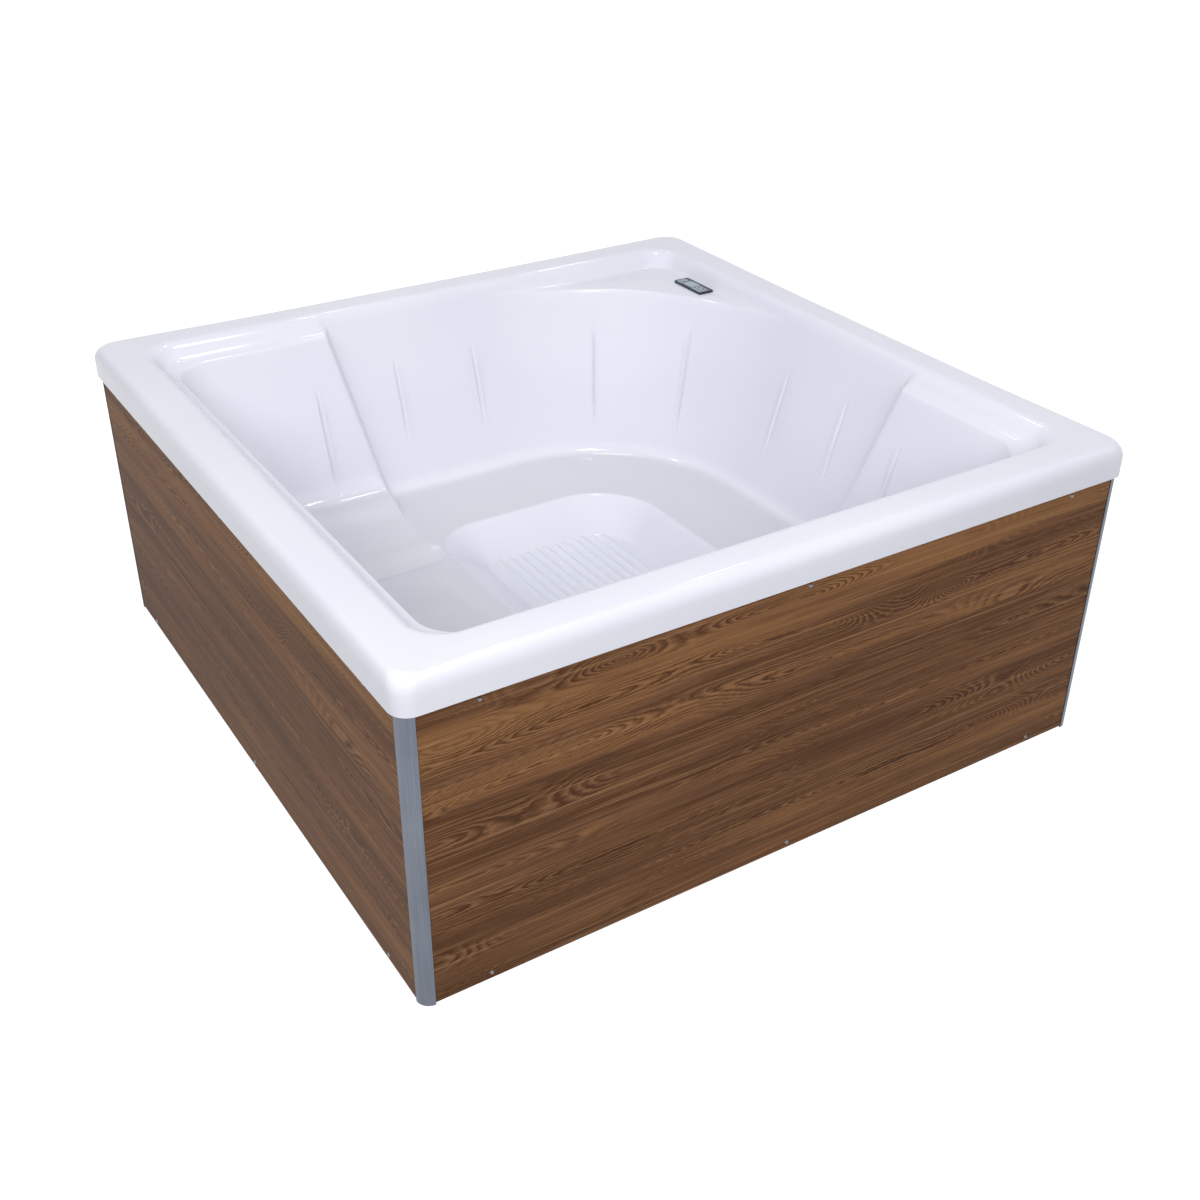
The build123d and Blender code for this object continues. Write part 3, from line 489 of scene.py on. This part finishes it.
# extruded, turned or painted metal: fine lines drawn out along one axis
def drawnMetal(name, light, dark, roughness, stretch, bump=0.05):
    material, tree, shader, place = newMaterial(name)
    lines = add(tree, "ShaderNodeMapping", {"Vector": place, "Scale": stretch})
    fine = add(tree, "ShaderNodeTexNoise", {
        "Vector": lines.outputs["Vector"], "Scale": 1 / (3 * mm), "Detail": 2})
    cloud = add(tree, "ShaderNodeTexNoise", {"Vector": place, "Scale": 6, "Detail": 2})
    both = add(tree, "ShaderNodeMath", {0: fine.outputs["Fac"], 1: cloud.outputs["Fac"]},
               operation="ADD")
    colour = ramp(tree, add(tree, "ShaderNodeMath", {0: both.outputs[0], 1: 0.5},
                            operation="MULTIPLY").outputs[0], ((0.35, dark), (0.65, light)))
    rough = add(tree, "ShaderNodeMapRange", {
        "Value": fine.outputs["Fac"], "To Min": roughness * 0.85, "To Max": roughness * 1.2})
    height = add(tree, "ShaderNodeBump", {
        "Height": fine.outputs["Fac"], "Strength": bump, "Distance": 0.1 * mm})
    tree.links.new(colour, shader.inputs["Base Color"])
    tree.links.new(rough.outputs["Result"], shader.inputs["Roughness"])
    tree.links.new(height.outputs["Normal"], shader.inputs["Normal"])
    shader.inputs["Metallic"].default_value = 1
    return material


# thermoformed sanitary acrylic: even cool white, glassy, faintly wavy where the sheet stretched
def sanitaryAcrylic():
    material, tree, shader, place = newMaterial("sanitaryAcrylicWhite")
    cloud = add(tree, "ShaderNodeTexNoise", {"Vector": place, "Scale": 2.2, "Detail": 2})
    sheet = ramp(tree, cloud.outputs["Fac"], ((0.3, "#DADBE5"), (0.7, "#DFE0E8")))

    # flat places at bench level are painted a little greyer and warmer: painted shade for the dimmer light that
    # reaches those floors
    normal = add(tree, "ShaderNodeSeparateXYZ", {
        "Vector": add(tree, "ShaderNodeNewGeometry").outputs["Normal"]}).outputs["Z"]
    height = add(tree, "ShaderNodeSeparateXYZ", {"Vector": place}).outputs["Z"]
    flat = add(tree, "ShaderNodeMapRange", {
        "Value": normal, "From Min": 0.82, "From Max": 1, "To Max": 0.6}).outputs["Result"]
    above = add(tree, "ShaderNodeMapRange", {
        "Value": height, "From Min": 0.17, "From Max": 0.2}).outputs["Result"]
    below = add(tree, "ShaderNodeMapRange", {
        "Value": height, "From Min": 0.3, "From Max": 0.27}).outputs["Result"]
    # mask of the painted shade: upward-facing surfaces between 0.17 m and 0.3 m high
    paintedFloorShade = add(tree, "ShaderNodeMath", {
        0: flat, 1: add(tree, "ShaderNodeMath", {0: above, 1: below}, operation="MULTIPLY").outputs[0]},
        operation="MULTIPLY").outputs[0]
    colour = add(tree, "ShaderNodeMix", {0: paintedFloorShade, 6: sheet, 7: linear("#CCCACF")},
                 data_type="RGBA").outputs[2]
    wave = add(tree, "ShaderNodeTexNoise", {"Vector": place, "Scale": 1 / (24 * mm), "Detail": 1})
    rough = add(tree, "ShaderNodeMapRange", {
        "Value": wave.outputs["Fac"], "To Min": 0.07, "To Max": 0.12})
    height = add(tree, "ShaderNodeBump", {
        "Height": wave.outputs["Fac"], "Strength": 0.05, "Distance": 0.6 * mm})
    tree.links.new(colour, shader.inputs["Base Color"])
    tree.links.new(rough.outputs["Result"], shader.inputs["Roughness"])
    tree.links.new(height.outputs["Normal"], shader.inputs["Normal"])
    shader.inputs["IOR"].default_value = 1.49
    return material


# wood figure, in millimetres: rings cut lengthwise, so that each row shows nested arches
woods = {
    # printed pine figure under matt melamine: rows of arches, dark and pale streaks, small knots
    "laminate": {"tones": ("#5B3D29", "#694A34", "#785339", "#87603F"), "line": "#412818",
                 "pale": "#AA825A", "knot": "#351D14", "rough": 0.5, "ring": 3.4, "row": 74,
                 "depth": 200, "arch": 480, "figure": (0.36, 0.5), "shine": 0.05},
    # planed softwood battens inside the skirt
    "timber": {"tones": ("#A07C50", "#B08A5C", "#BE9A68", "#CFAF80"), "line": "#8E693F",
               "pale": "#DCC093", "knot": "#6B4526", "rough": 0.6, "ring": 4, "row": 60,
               "depth": 200, "arch": 600, "figure": (0.45, 0.6), "shine": 0.3},
}


# wood whose grain runs along local X once the coordinates are turned
def woodGrain(name, kind, turn):
    w = woods[kind]
    material, tree, shader, place = newMaterial(name)
    flat = add(tree, "ShaderNodeMapping", {"Vector": place, "Rotation": turn})
    axes = add(tree, "ShaderNodeSeparateXYZ", {"Vector": flat.outputs["Vector"]})

    def maths(kindOf, a, b=0.0, c=0.0):
        return add(tree, "ShaderNodeMath", {0: a, 1: b, 2: c}, operation=kindOf).outputs[0]

    # noise with features of a given length and height, in millimetres
    def figure(length, height, shift, detail=1.0):
        vector = add(tree, "ShaderNodeMapping", {
            "Vector": flat.outputs["Vector"], "Location": (shift, shift * 1.7, shift * 0.6),
            "Scale": (1 / (length * mm), 1 / (length * mm), 1 / (height * mm))})
        return add(tree, "ShaderNodeTexNoise", {
            "Vector": vector.outputs["Vector"], "Scale": 1, "Detail": detail}).outputs["Fac"]

    # knots sit on scattered points, most of them left out
    cells = add(tree, "ShaderNodeMapping", {
        "Vector": flat.outputs["Vector"], "Location": (0.37, 0, 0.21), "Scale": (3.4, 0.01, 8)})
    dots = add(tree, "ShaderNodeTexVoronoi", {"Vector": cells.outputs["Vector"], "Scale": 1})
    chosen = add(tree, "ShaderNodeSeparateColor", {"Color": dots.outputs["Color"]})
    isKnot = maths("GREATER_THAN", chosen.outputs["Red"], 0.6)
    near = maths("MULTIPLY", dots.outputs["Distance"], dots.outputs["Distance"])
    swell = maths("MULTIPLY", isKnot, maths("EXPONENT", maths("MULTIPLY", near, -70.0)))
    eye = maths("MULTIPLY", isKnot, maths("EXPONENT", maths("MULTIPLY", near, -1400.0)))

    # distance from a pith that wanders along each row; its growth rings are the lines
    wander = maths("MULTIPLY_ADD", figure(900, 200, 4.4), 0.08, axes.outputs["Z"])
    turnAt = maths("MULTIPLY", wander, pi / (w["row"] * mm))
    across = maths("MULTIPLY", maths("SINE", turnAt), w["row"] / pi)
    deep = maths("MULTIPLY", maths("SUBTRACT", figure(w["arch"], 110, 3.1), 0.5), w["depth"])
    away = maths("SQRT", maths("MULTIPLY_ADD", across, across, maths("MULTIPLY", deep, deep)))
    rings = maths("MULTIPLY_ADD", figure(18, 4, 7.7, 2), 0.9, maths("DIVIDE", away, w["ring"]))
    rings = maths("MULTIPLY_ADD", swell, 2.5, rings)
    phase = maths("FRACT", rings)
    lines = ramp(tree, phase, ((0, 0.0), (0.4, 0.0), (0.8, 1.0), (1, 0.0)))
    paleLines = ramp(tree, phase, ((0, 0.0), (0.15, 1.0), (0.4, 0.0), (1, 0.0)))

    # the arches show in the middle of a row, and only along parts of it
    middle = ramp(tree, maths("ABSOLUTE", maths("SINE", turnAt)), ((0.55, 1.0), (0.95, 0.3)))
    strength = ramp(tree, figure(420, 60, 1.3), ((w["figure"][0], 0.1), (w["figure"][1], 1.0)))
    strength = maths("MAXIMUM", maths("MULTIPLY", middle, strength), swell)
    bands = figure(1400, 70, 5.2, 2)
    streaks = figure(240, 8, 6.1, 3)
    pores = figure(70, 1.7, 2.6, 2)
    tone = maths("MULTIPLY_ADD", bands, 0.55, maths("MULTIPLY", streaks, 0.25))
    tone = maths("MULTIPLY_ADD", pores, 0.2, tone)
    stops = [(0.42 + 0.055 * i, hexText) for i, hexText in enumerate(w["tones"])]
    colour = ramp(tree, tone, stops)
    darkStreaks = ramp(tree, figure(300, 3.2, 9.4, 2), ((0.58, 0.0), (0.7, 0.45)))
    paleStreaks = ramp(tree, figure(420, 2.6, 8.3, 1), ((0.6, 0.0), (0.7, 0.4)))
    for fac, hexText in ((maths("MULTIPLY", lines, maths("MULTIPLY", strength, 0.85)), w["line"]),
                         (maths("MULTIPLY", paleLines, maths("MULTIPLY", strength, 0.3)), w["pale"]),
                         (darkStreaks, w["line"]),
                         (paleStreaks, w["pale"]),
                         (maths("MULTIPLY", eye, 0.8), w["knot"])):
        colour = add(tree, "ShaderNodeMix", {0: fac, 6: colour, 7: linear(hexText)},
                     data_type="RGBA").outputs[2]
    tree.links.new(colour, shader.inputs["Base Color"])
    rough = add(tree, "ShaderNodeMapRange", {
        "Value": streaks, "To Min": w["rough"] - 0.05, "To Max": w["rough"] + 0.08})
    tree.links.new(rough.outputs["Result"], shader.inputs["Roughness"])
    relief = add(tree, "ShaderNodeBump", {
        "Height": maths("ADD", lines, pores), "Strength": 0.12, "Distance": 0.15 * mm})
    tree.links.new(relief.outputs["Normal"], shader.inputs["Normal"])
    shader.inputs["Specular IOR Level"].default_value = w["shine"]
    return material


acrylic = sanitaryAcrylic()
laminateX = woodGrain("pineLaminateFront", "laminate", (0, 0, 0))
laminateY = woodGrain("pineLaminateSide", "laminate", (0, 0, radians(90)))
timberX = woodGrain("softwoodAlongFront", "timber", (0, 0, 0))
timberY = woodGrain("softwoodAlongSide", "timber", (0, 0, radians(90)))
timberZ = woodGrain("softwoodUpright", "timber", (0, radians(90), 0))
# anodised aluminium: cool grey satin with upright drawing lines
postMetal = drawnMetal("anodisedAluminium", "#7E848E", "#6B717B", 0.45, (1, 1, 0.02))
screwSteel = drawnMetal("zincPlatedSteel", "#8F9196", "#77797F", 0.35, (1, 1, 1))
rotorSteel = drawnMetal("groundSteel", "#B8BABD", "#9C9EA2", 0.35, (1, 0.05, 1))
brass = drawnMetal("castBrass", "#B8924E", "#9C7838", 0.4, (1, 1, 1), 0.2)
# ABS: dark blue-grey with a fine moulded grain
darkAbs = mouldedPlastic("darkAbs", "#2A2E3A", "#20232D", 0.35, 0.8)
displayGlass = mouldedPlastic("displayPolycarbonate", "#9DAAB5", "#8795A2", 0.12, 6, 0.02, 1.58)
whiteAbs = mouldedPlastic("glossWhiteAbs", "#E9EAEE", "#DFE0E6", 0.2, 3, 0.04)
pipePvc = mouldedPlastic("greyPvc", "#9FA3A8", "#8D9196", 0.35, 2)
trayPlastic = mouldedPlastic("blackHdpe", "#2B2C2F", "#202124", 0.55, 1.5, 0.3)
rubber = mouldedPlastic("mattRubber", "#1E1E20", "#151517", 0.8, 1, 0.4, 1.52)
motorPaint = mouldedPlastic("blueGreyMotorPaint", "#3F4F66", "#354457", 0.35, 2, 0.2)
leverPaint = mouldedPlastic("redVinylGrip", "#9E2A22", "#86211B", 0.45, 1, 0.2)
boxPlastic = mouldedPlastic("greyBoxAbs", "#86898F", "#787B81", 0.45, 1.2, 0.2)
cableSkin = mouldedPlastic("blackPvcCable", "#232326", "#1A1A1C", 0.4, 1, 0.1)

# printed face of the controller, in millimetres: pale ground, dark edge and dark key outlines
controllerPrint = {
    "pale": ("#93A0AF", "#A6B1BD"), "dark": "#181D2D", "margin": (7, 6), "shift": 2.5,
    "outline": 2.4, "roughness": 0.3,
    "marks": {"controller_key_left": ((1.6, 4),), "controller_key_middle": ((2.8, 2.8),),
              "controller_key_right": ((1.6, 4), (4, 1.6))},
}


# pale plastic with dark print where any of the given tests is true
def printedPlastic(name, tests):
    k = controllerPrint
    material, tree, shader, place = newMaterial(name)
    axes = add(tree, "ShaderNodeSeparateXYZ", {"Vector": place})

    def maths(kindOf, a, b=0.0):
        return add(tree, "ShaderNodeMath", {0: a, 1: b}, operation=kindOf).outputs[0]

    # distance outside a rectangle seen from above, less than 0 inside it
    def outside(middle, half):
        sides = [maths("SUBTRACT", maths("ABSOLUTE", maths("SUBTRACT", axes.outputs[axis], middle[i])),
                       half[i]) for i, axis in enumerate("XY")]
        return maths("MAXIMUM", sides[0], sides[1])

    printed = 0.0
    for kindOf, middle, half, limit in tests:
        printed = maths("MAXIMUM", printed, maths(kindOf, outside(middle, half), limit))
    cloud = add(tree, "ShaderNodeTexNoise", {"Vector": place, "Scale": 1 / (3 * mm), "Detail": 2})
    tint = ramp(tree, cloud.outputs["Fac"], ((0.3, k["pale"][0]), (0.7, k["pale"][1])))
    colour = add(tree, "ShaderNodeMix", {0: printed, 6: tint, 7: linear(k["dark"])},
                 data_type="RGBA").outputs[2]
    tree.links.new(colour, shader.inputs["Base Color"])
    rough = add(tree, "ShaderNodeMapRange", {
        "Value": cloud.outputs["Fac"], "To Min": k["roughness"], "To Max": k["roughness"] + 0.1})
    tree.links.new(rough.outputs["Result"], shader.inputs["Roughness"])
    return material


def middleAndHalf(name):
    low, high = [Vector(corner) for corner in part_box(name)]
    return (low + high) / 2, (high - low) / 2


def faceTests():
    middle, half = middleAndHalf("controller_housing")
    middle.x -= controllerPrint["shift"] * mm
    half -= Vector((*controllerPrint["margin"], 0)) * mm
    tests = [("GREATER_THAN", middle, half, 0.0)]
    for name in ("controller_window", *controllerPrint["marks"]):
        tests.append(("LESS_THAN", *middleAndHalf(name), controllerPrint["outline"] * mm))
    return tests


def keyTests():
    return [("LESS_THAN", middleAndHalf(name)[0], Vector(bar) * mm, 0.0)
            for name, bars in controllerPrint["marks"].items() for bar in bars]


controllerFace = printedPlastic("screenPrintedAbsFace", faceTests())
keyFace = printedPlastic("screenPrintedAbsKeys", keyTests())

finishes = {
    "laminateX": (laminateX, ("front_panel", "back_panel")),
    "laminateY": (laminateY, ("left_panel", "right_panel")),
    "timberX": (timberX, ("top_rail_front", "top_rail_back", "bottom_rail_front",
                          "bottom_rail_back", "footwell_board")),
    "timberY": (timberY, ("top_rail_left", "top_rail_right", "bottom_rail_left",
                          "bottom_rail_right", "floor_joists")),
    "posts": (postMetal, ("corner_post_front_left", "corner_post_front_right",
                          "corner_post_back_left", "corner_post_back_right")),
    "uprights": (timberZ, ("upright_front_left", "upright_front_right",
                           "upright_back_left", "upright_back_right")),
    "screws": (screwSteel, ("panel_screws",)),
    "rubber": (rubber, ("rubber_pads", "drain_gasket")),
    "tray": (trayPlastic, ("base_tray", "pump_bracket")),
    "face": (controllerFace, ("controller_housing",)),
    "dark": (darkAbs, ("mains_gland", "cable_clips", "pump_seal_plate", "pump_volute")),
    "display": (displayGlass, ("controller_window",)),
    "keys": (keyFace, ("controller_key_left", "controller_key_middle", "controller_key_right")),
    "white": (whiteAbs, ("drain_flange", "drain_plug", "drain_nut", "suction_fitting",
                         "return_fitting", "fitting_nuts")),
    "pipes": (pipePvc, ("drain_pipe", "drain_tail_pipe", "supply_union", "return_union",
                        "drain_outlet", "suction_pipe", "pressure_pipe", "return_pipe")),
    "brass": (brass, ("drain_valve_body",)),
    "steel": (rotorSteel, ("drain_valve_ball", "pump_rotor")),
    "lever": (leverPaint, ("drain_valve_lever",)),
    "motor": (motorPaint, ("pump_motor_case",)),
    "box": (boxPlastic, ("control_box", "control_box_lid")),
    "cables": (cableSkin, ("keypad_cable", "pump_cable")),
}
dressed = set()
for material, names in finishes.values():
    for name in names:
        for materialSlot in nodes[name].material_slots:
            materialSlot.material = material
        dressed.add(name)
print("materials made,", len(set(nodes) - dressed), "node left for its own piece")


# the shell: one ring of edges, extruded ring by ring from the lip to the footwell

def shellRings():
    columns = [columnPoints(station) for station in columnStations()]
    mirrored = [[Vector((p.y, p.x, p.z)) for p in column] for column in columns[-2:0:-1]]
    columns += mirrored
    return [[column[i] * mm for column in columns] for i in range(len(columns[0]))]


def makeShell():
    rings = shellRings()
    bm = bmesh.new()
    ring = bmesh.ops.create_circle(bm, segments=len(rings[0]), radius=1)["verts"]
    edges = list(bm.edges)
    for vert, place in zip(ring, rings[0]):
        vert.co = place
    for places in rings[1:]:
        made = bmesh.ops.extrude_edge_only(bm, edges=edges)["geom"]
        fresh = {g for g in made if isinstance(g, bmesh.types.BMVert)}
        ring = [next(e.other_vert(v) for e in v.link_edges if e.other_vert(v) in fresh)
                for v in ring]
        edges = [g for g in made if isinstance(g, bmesh.types.BMEdge)
                 and g.verts[0] in fresh and g.verts[1] in fresh]
        for vert, place in zip(ring, places):
            vert.co = place
    bmesh.ops.contextual_create(bm, geom=edges)
    bmesh.ops.recalc_face_normals(bm, faces=bm.faces)
    rim = max(bm.faces, key=lambda f: f.calc_center_median().z)
    if rim.normal.z < 0:
        bmesh.ops.reverse_faces(bm, faces=bm.faces)
    return bm


bm = makeShell()
print("shell rings made,", len(bm.faces), "faces")
tub = newPiece("moulded_shell", bm, acrylic, 0)
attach(tub, "tub")
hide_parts("acrylic_shell")
wall = tub.modifiers.new("sheet", "SOLIDIFY")
wall.thickness = s["skin"] * mm
wall.offset = -1
keepModified(tub)

# holes through the sheet for the drain, the two wall fittings and the controller
holes = {
    "drain": {"at": (80, -40), "radius": 23.8},
    "fittings": {"at": ((110, 340), (260, 300)), "radius": 22.3},
    "controller": {"at": (620.5, 469), "size": (29, 93)},
    "depth": 40, "sharp": 50,
}


def cutHoles(piece):
    depth = holes["depth"] * mm
    bm = bmesh.new()
    x, y = holes["drain"]["at"]
    round = {"cap_ends": True, "segments": 64, "depth": depth}
    radius = holes["drain"]["radius"] * mm
    bmesh.ops.create_cone(bm, radius1=radius, radius2=radius, **round,
                          matrix=Matrix.Translation(Vector((x, y, s["floor"])) * mm))
    slope = (s["benchFootInset"] - s["benchTopInset"]) / (s["ledgeHeight"] - s["seat"])
    lean = Vector((1, 0, slope)).to_track_quat("Z", "Y").to_matrix().to_4x4()
    radius = holes["fittings"]["radius"] * mm
    for y, z in holes["fittings"]["at"]:
        place = Matrix.Translation(Vector((benchInset(z) - s["half"], y, z)) * mm)
        bmesh.ops.create_cone(bm, radius1=radius, radius2=radius, **round, matrix=place @ lean)
    x, y = holes["controller"]["at"]
    long, wide = holes["controller"]["size"]
    place = Matrix.Translation(Vector((x, y, s["ledgeHeight"])) * mm)
    bmesh.ops.create_cube(bm, size=1, matrix=place @ Matrix.Diagonal((long * mm, wide * mm, depth, 1)))
    mesh = bpy.data.meshes.new("hole_cutter")
    bm.to_mesh(mesh)
    bm.free()
    cutter = bpy.data.objects.new("hole_cutter", mesh)
    bpy.context.scene.collection.objects.link(cutter)
    cut = piece.modifiers.new("holes", "BOOLEAN")
    cut.operation = "DIFFERENCE"
    cut.solver = "EXACT"
    cut.object = cutter
    keepModified(piece)
    bpy.data.objects.remove(cutter)
    piece.data.set_sharp_from_angle(angle=radians(holes["sharp"]))


cutHoles(tub)
print("holes cut,", len(tub.data.polygons), "faces")

# ribs on the footwell's floor, each a soft bump that runs out at both ends
ribs = {"pitch": 24, "width": 13, "rise": 4.5, "count": 12, "start": 16, "endGap": -3}


def makeRibs():
    bm = bmesh.new()
    middle = (s["floorLow"] + s["floorHigh"]) / 2
    reach = s["floorHigh"] - s["arcCentre"] - ribs["endGap"]
    for i in range(ribs["count"]):
        x = middle + (i - (ribs["count"] - 1) / 2) * ribs["pitch"]
        past = max(x - s["arcCentre"], 0)
        end = s["arcCentre"] + sqrt(reach ** 2 - past ** 2)
        made = bmesh.ops.create_grid(bm, x_segments=10, y_segments=40, size=0.5)["verts"]
        half = ribs["width"] * 0.75
        for vert in made:
            u = vert.co.x * 2 * half
            v = mix(ribs["start"] - half, end + half, vert.co.y + 0.5)
            beyond = max(ribs["start"] + half / 2 - v, v - end + half / 2, 0)
            away = min(sqrt(u * u + beyond * beyond) / half, 1)
            z = s["floor"] - 0.4 + (ribs["rise"] + 0.4) * (0.5 + 0.5 * cos(pi * away))
            vert.co = Vector((x + u, v, z)) * mm
    bmesh.ops.recalc_face_normals(bm, faces=bm.faces)
    for face in list(bm.faces):
        if face.normal.z < 0:
            face.normal_flip()
    return bm


ribPiece = newPiece("footwell_ribs", makeRibs(), acrylic, 0)
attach(ribPiece, "tub")
sheetUnder = ribPiece.modifiers.new("sheet", "SOLIDIFY")
sheetUnder.thickness = 1 * mm
sheetUnder.offset = -1
keepModified(ribPiece)
print("shell and ribs done")


# floor, light and camera

def areaLight(name, place, target, size, power, mirrored):
    lamp = bpy.data.lights.new(name, "AREA")
    lamp.shape = "RECTANGLE"
    lamp.size, lamp.size_y = size
    lamp.energy = power
    holder = bpy.data.objects.new(name, lamp)
    holder.location = place
    aim = Vector(target) - Vector(place)
    holder.rotation_euler = aim.to_track_quat("-Z", "Y").to_euler()
    holder.visible_glossy = mirrored
    bpy.context.scene.collection.objects.link(holder)


studio = {
    "floorTone": "#86868A", "glowNear": 0.92, "glowFar": 1.1, "fadeFrom": 1.2, "fadeTo": 2.8,
    "sky": "#F2F4FA", "skyStrength": 0.42,
    "overhead": {"place": (0.1, -0.2, 3.0), "target": (0.1, -0.1, 0.3), "size": (0.34, 0.34), "power": 12,
                 "mirrored": True},
    "front": {"place": (-0.5, -3.8, 2.5), "target": (0, 0, 0.4), "size": (2.2, 1.6), "power": 62,
              "mirrored": False},
    "left": {"place": (-3.4, -0.6, 3.2), "target": (0, 0, 0.4), "size": (2.0, 1.4), "power": 46,
             "mirrored": False},
    "near": {"place": (-2.0, -2.9, 2.3), "target": (-0.7, -0.7, 0.6), "size": (1.2, 0.9), "power": 34,
             "mirrored": False},
    "rear": {"place": (2.4, 3.0, 2.6), "target": (0.3, 0.3, 0.3), "size": (2.0, 1.4), "power": 8,
             "mirrored": False},
    # two low lamps that reach the back and right boards and pass under the rim
    "back": {"place": (0.4, 4.0, 0.5), "target": (0, 0.75, 0.3), "size": (2.0, 0.7), "power": 24,
             "mirrored": False},
    "right": {"place": (4.0, 0.4, 0.5), "target": (0.75, 0, 0.3), "size": (2.0, 0.7), "power": 24,
              "mirrored": False},
    # a row of small bright lamps behind the tub, for the sparkle on wet-looking edges
    "sparks": {"row": (-0.4, 0.8, 2.0), "y": 1.4, "z": 3.4, "size": (0.3, 0.14),
               "power": 3},
}


# 1 for camera, mirror and glass rays, so the background stays plain white in all three
def seenDirectly(tree):
    path = add(tree, "ShaderNodeLightPath")
    either = add(tree, "ShaderNodeMath", {
        0: path.outputs["Is Camera Ray"], 1: path.outputs["Is Glossy Ray"]}, operation="MAXIMUM")
    return add(tree, "ShaderNodeMath", {
        0: either.outputs[0], 1: path.outputs["Is Transmission Ray"]},
        operation="MAXIMUM").outputs[0]


def makeStudio():
    bm = bmesh.new()
    bmesh.ops.create_grid(bm, x_segments=1, y_segments=1, size=14)
    mesh = bpy.data.meshes.new("studio_floor")
    bm.to_mesh(mesh)
    bm.free()
    floor = bpy.data.objects.new("studio_floor", mesh)
    bpy.context.scene.collection.objects.link(floor)
    material = bpy.data.materials.new("paleStudioFloor")
    material.use_nodes = True
    tree = material.node_tree
    tree.nodes.clear()
    paint = add(tree, "ShaderNodeBsdfDiffuse", {"Color": linear(studio["floorTone"])})
    place = add(tree, "ShaderNodeTexCoord").outputs["Object"]
    away = add(tree, "ShaderNodeVectorMath", {0: place}, operation="LENGTH").outputs["Value"]
    level = add(tree, "ShaderNodeMapRange", {
        "Value": away, "From Min": studio["fadeFrom"], "From Max": studio["fadeTo"],
        "To Min": studio["glowNear"], "To Max": studio["glowFar"]}).outputs["Result"]
    glow = add(tree, "ShaderNodeEmission", {
        "Strength": add(tree, "ShaderNodeMath", {0: seenDirectly(tree), 1: level},
                        operation="MULTIPLY").outputs[0]})
    both = add(tree, "ShaderNodeAddShader", {0: paint.outputs[0], 1: glow.outputs[0]})
    add(tree, "ShaderNodeOutputMaterial", {"Surface": both.outputs[0]})
    mesh.materials.append(material)

    world = bpy.data.worlds.new("studio")
    bpy.context.scene.world = world
    world.use_nodes = True
    tree = world.node_tree
    tree.nodes.clear()
    sky = add(tree, "ShaderNodeBackground", {
        "Color": linear(studio["sky"]), "Strength": studio["skyStrength"]})
    white = add(tree, "ShaderNodeBackground", {"Color": (1, 1, 1, 1), "Strength": 1})
    shown = add(tree, "ShaderNodeMixShader", {
        0: seenDirectly(tree), 1: sky.outputs[0], 2: white.outputs[0]})
    add(tree, "ShaderNodeOutputWorld", {"Surface": shown.outputs[0]})
    for name in ("overhead", "front", "left", "near", "rear", "back", "right"):
        k = studio[name]
        areaLight(name + "_softbox", k["place"], k["target"], k["size"], k["power"], k["mirrored"])
    k = studio["sparks"]
    for i, x in enumerate(k["row"]):
        areaLight("spark_" + str(i), (x, k["y"], k["z"]), (0, 0, 0.3), k["size"], k["power"], True)


view = {
    "place": (-1.3973, -2.2995, 1.7863),
    "forward": (0.4578, 0.722, -0.5188),
    "roll": 0.37,
    "lens": 43.82,
}


def makeCamera():
    camera = bpy.data.cameras.new("camera")
    camera.sensor_width = 36
    camera.lens = view["lens"]
    camera.clip_end = 60
    holder = bpy.data.objects.new("camera", camera)
    forward = Vector(view["forward"]).normalized()
    right = forward.cross(Vector((0, 0, 1))).normalized()
    up = right.cross(forward)
    roll = radians(view["roll"])
    tiltedRight = right * cos(roll) + up * sin(roll)
    tiltedUp = up * cos(roll) - right * sin(roll)
    turn = Matrix((tiltedRight, tiltedUp, -forward)).transposed().to_4x4()
    holder.matrix_world = Matrix.Translation(Vector(view["place"])) @ turn
    bpy.context.scene.collection.objects.link(holder)
    bpy.context.scene.camera = holder


makeStudio()
makeCamera()
bpy.context.scene.view_settings.view_transform = "Standard"
print("studio and camera done")
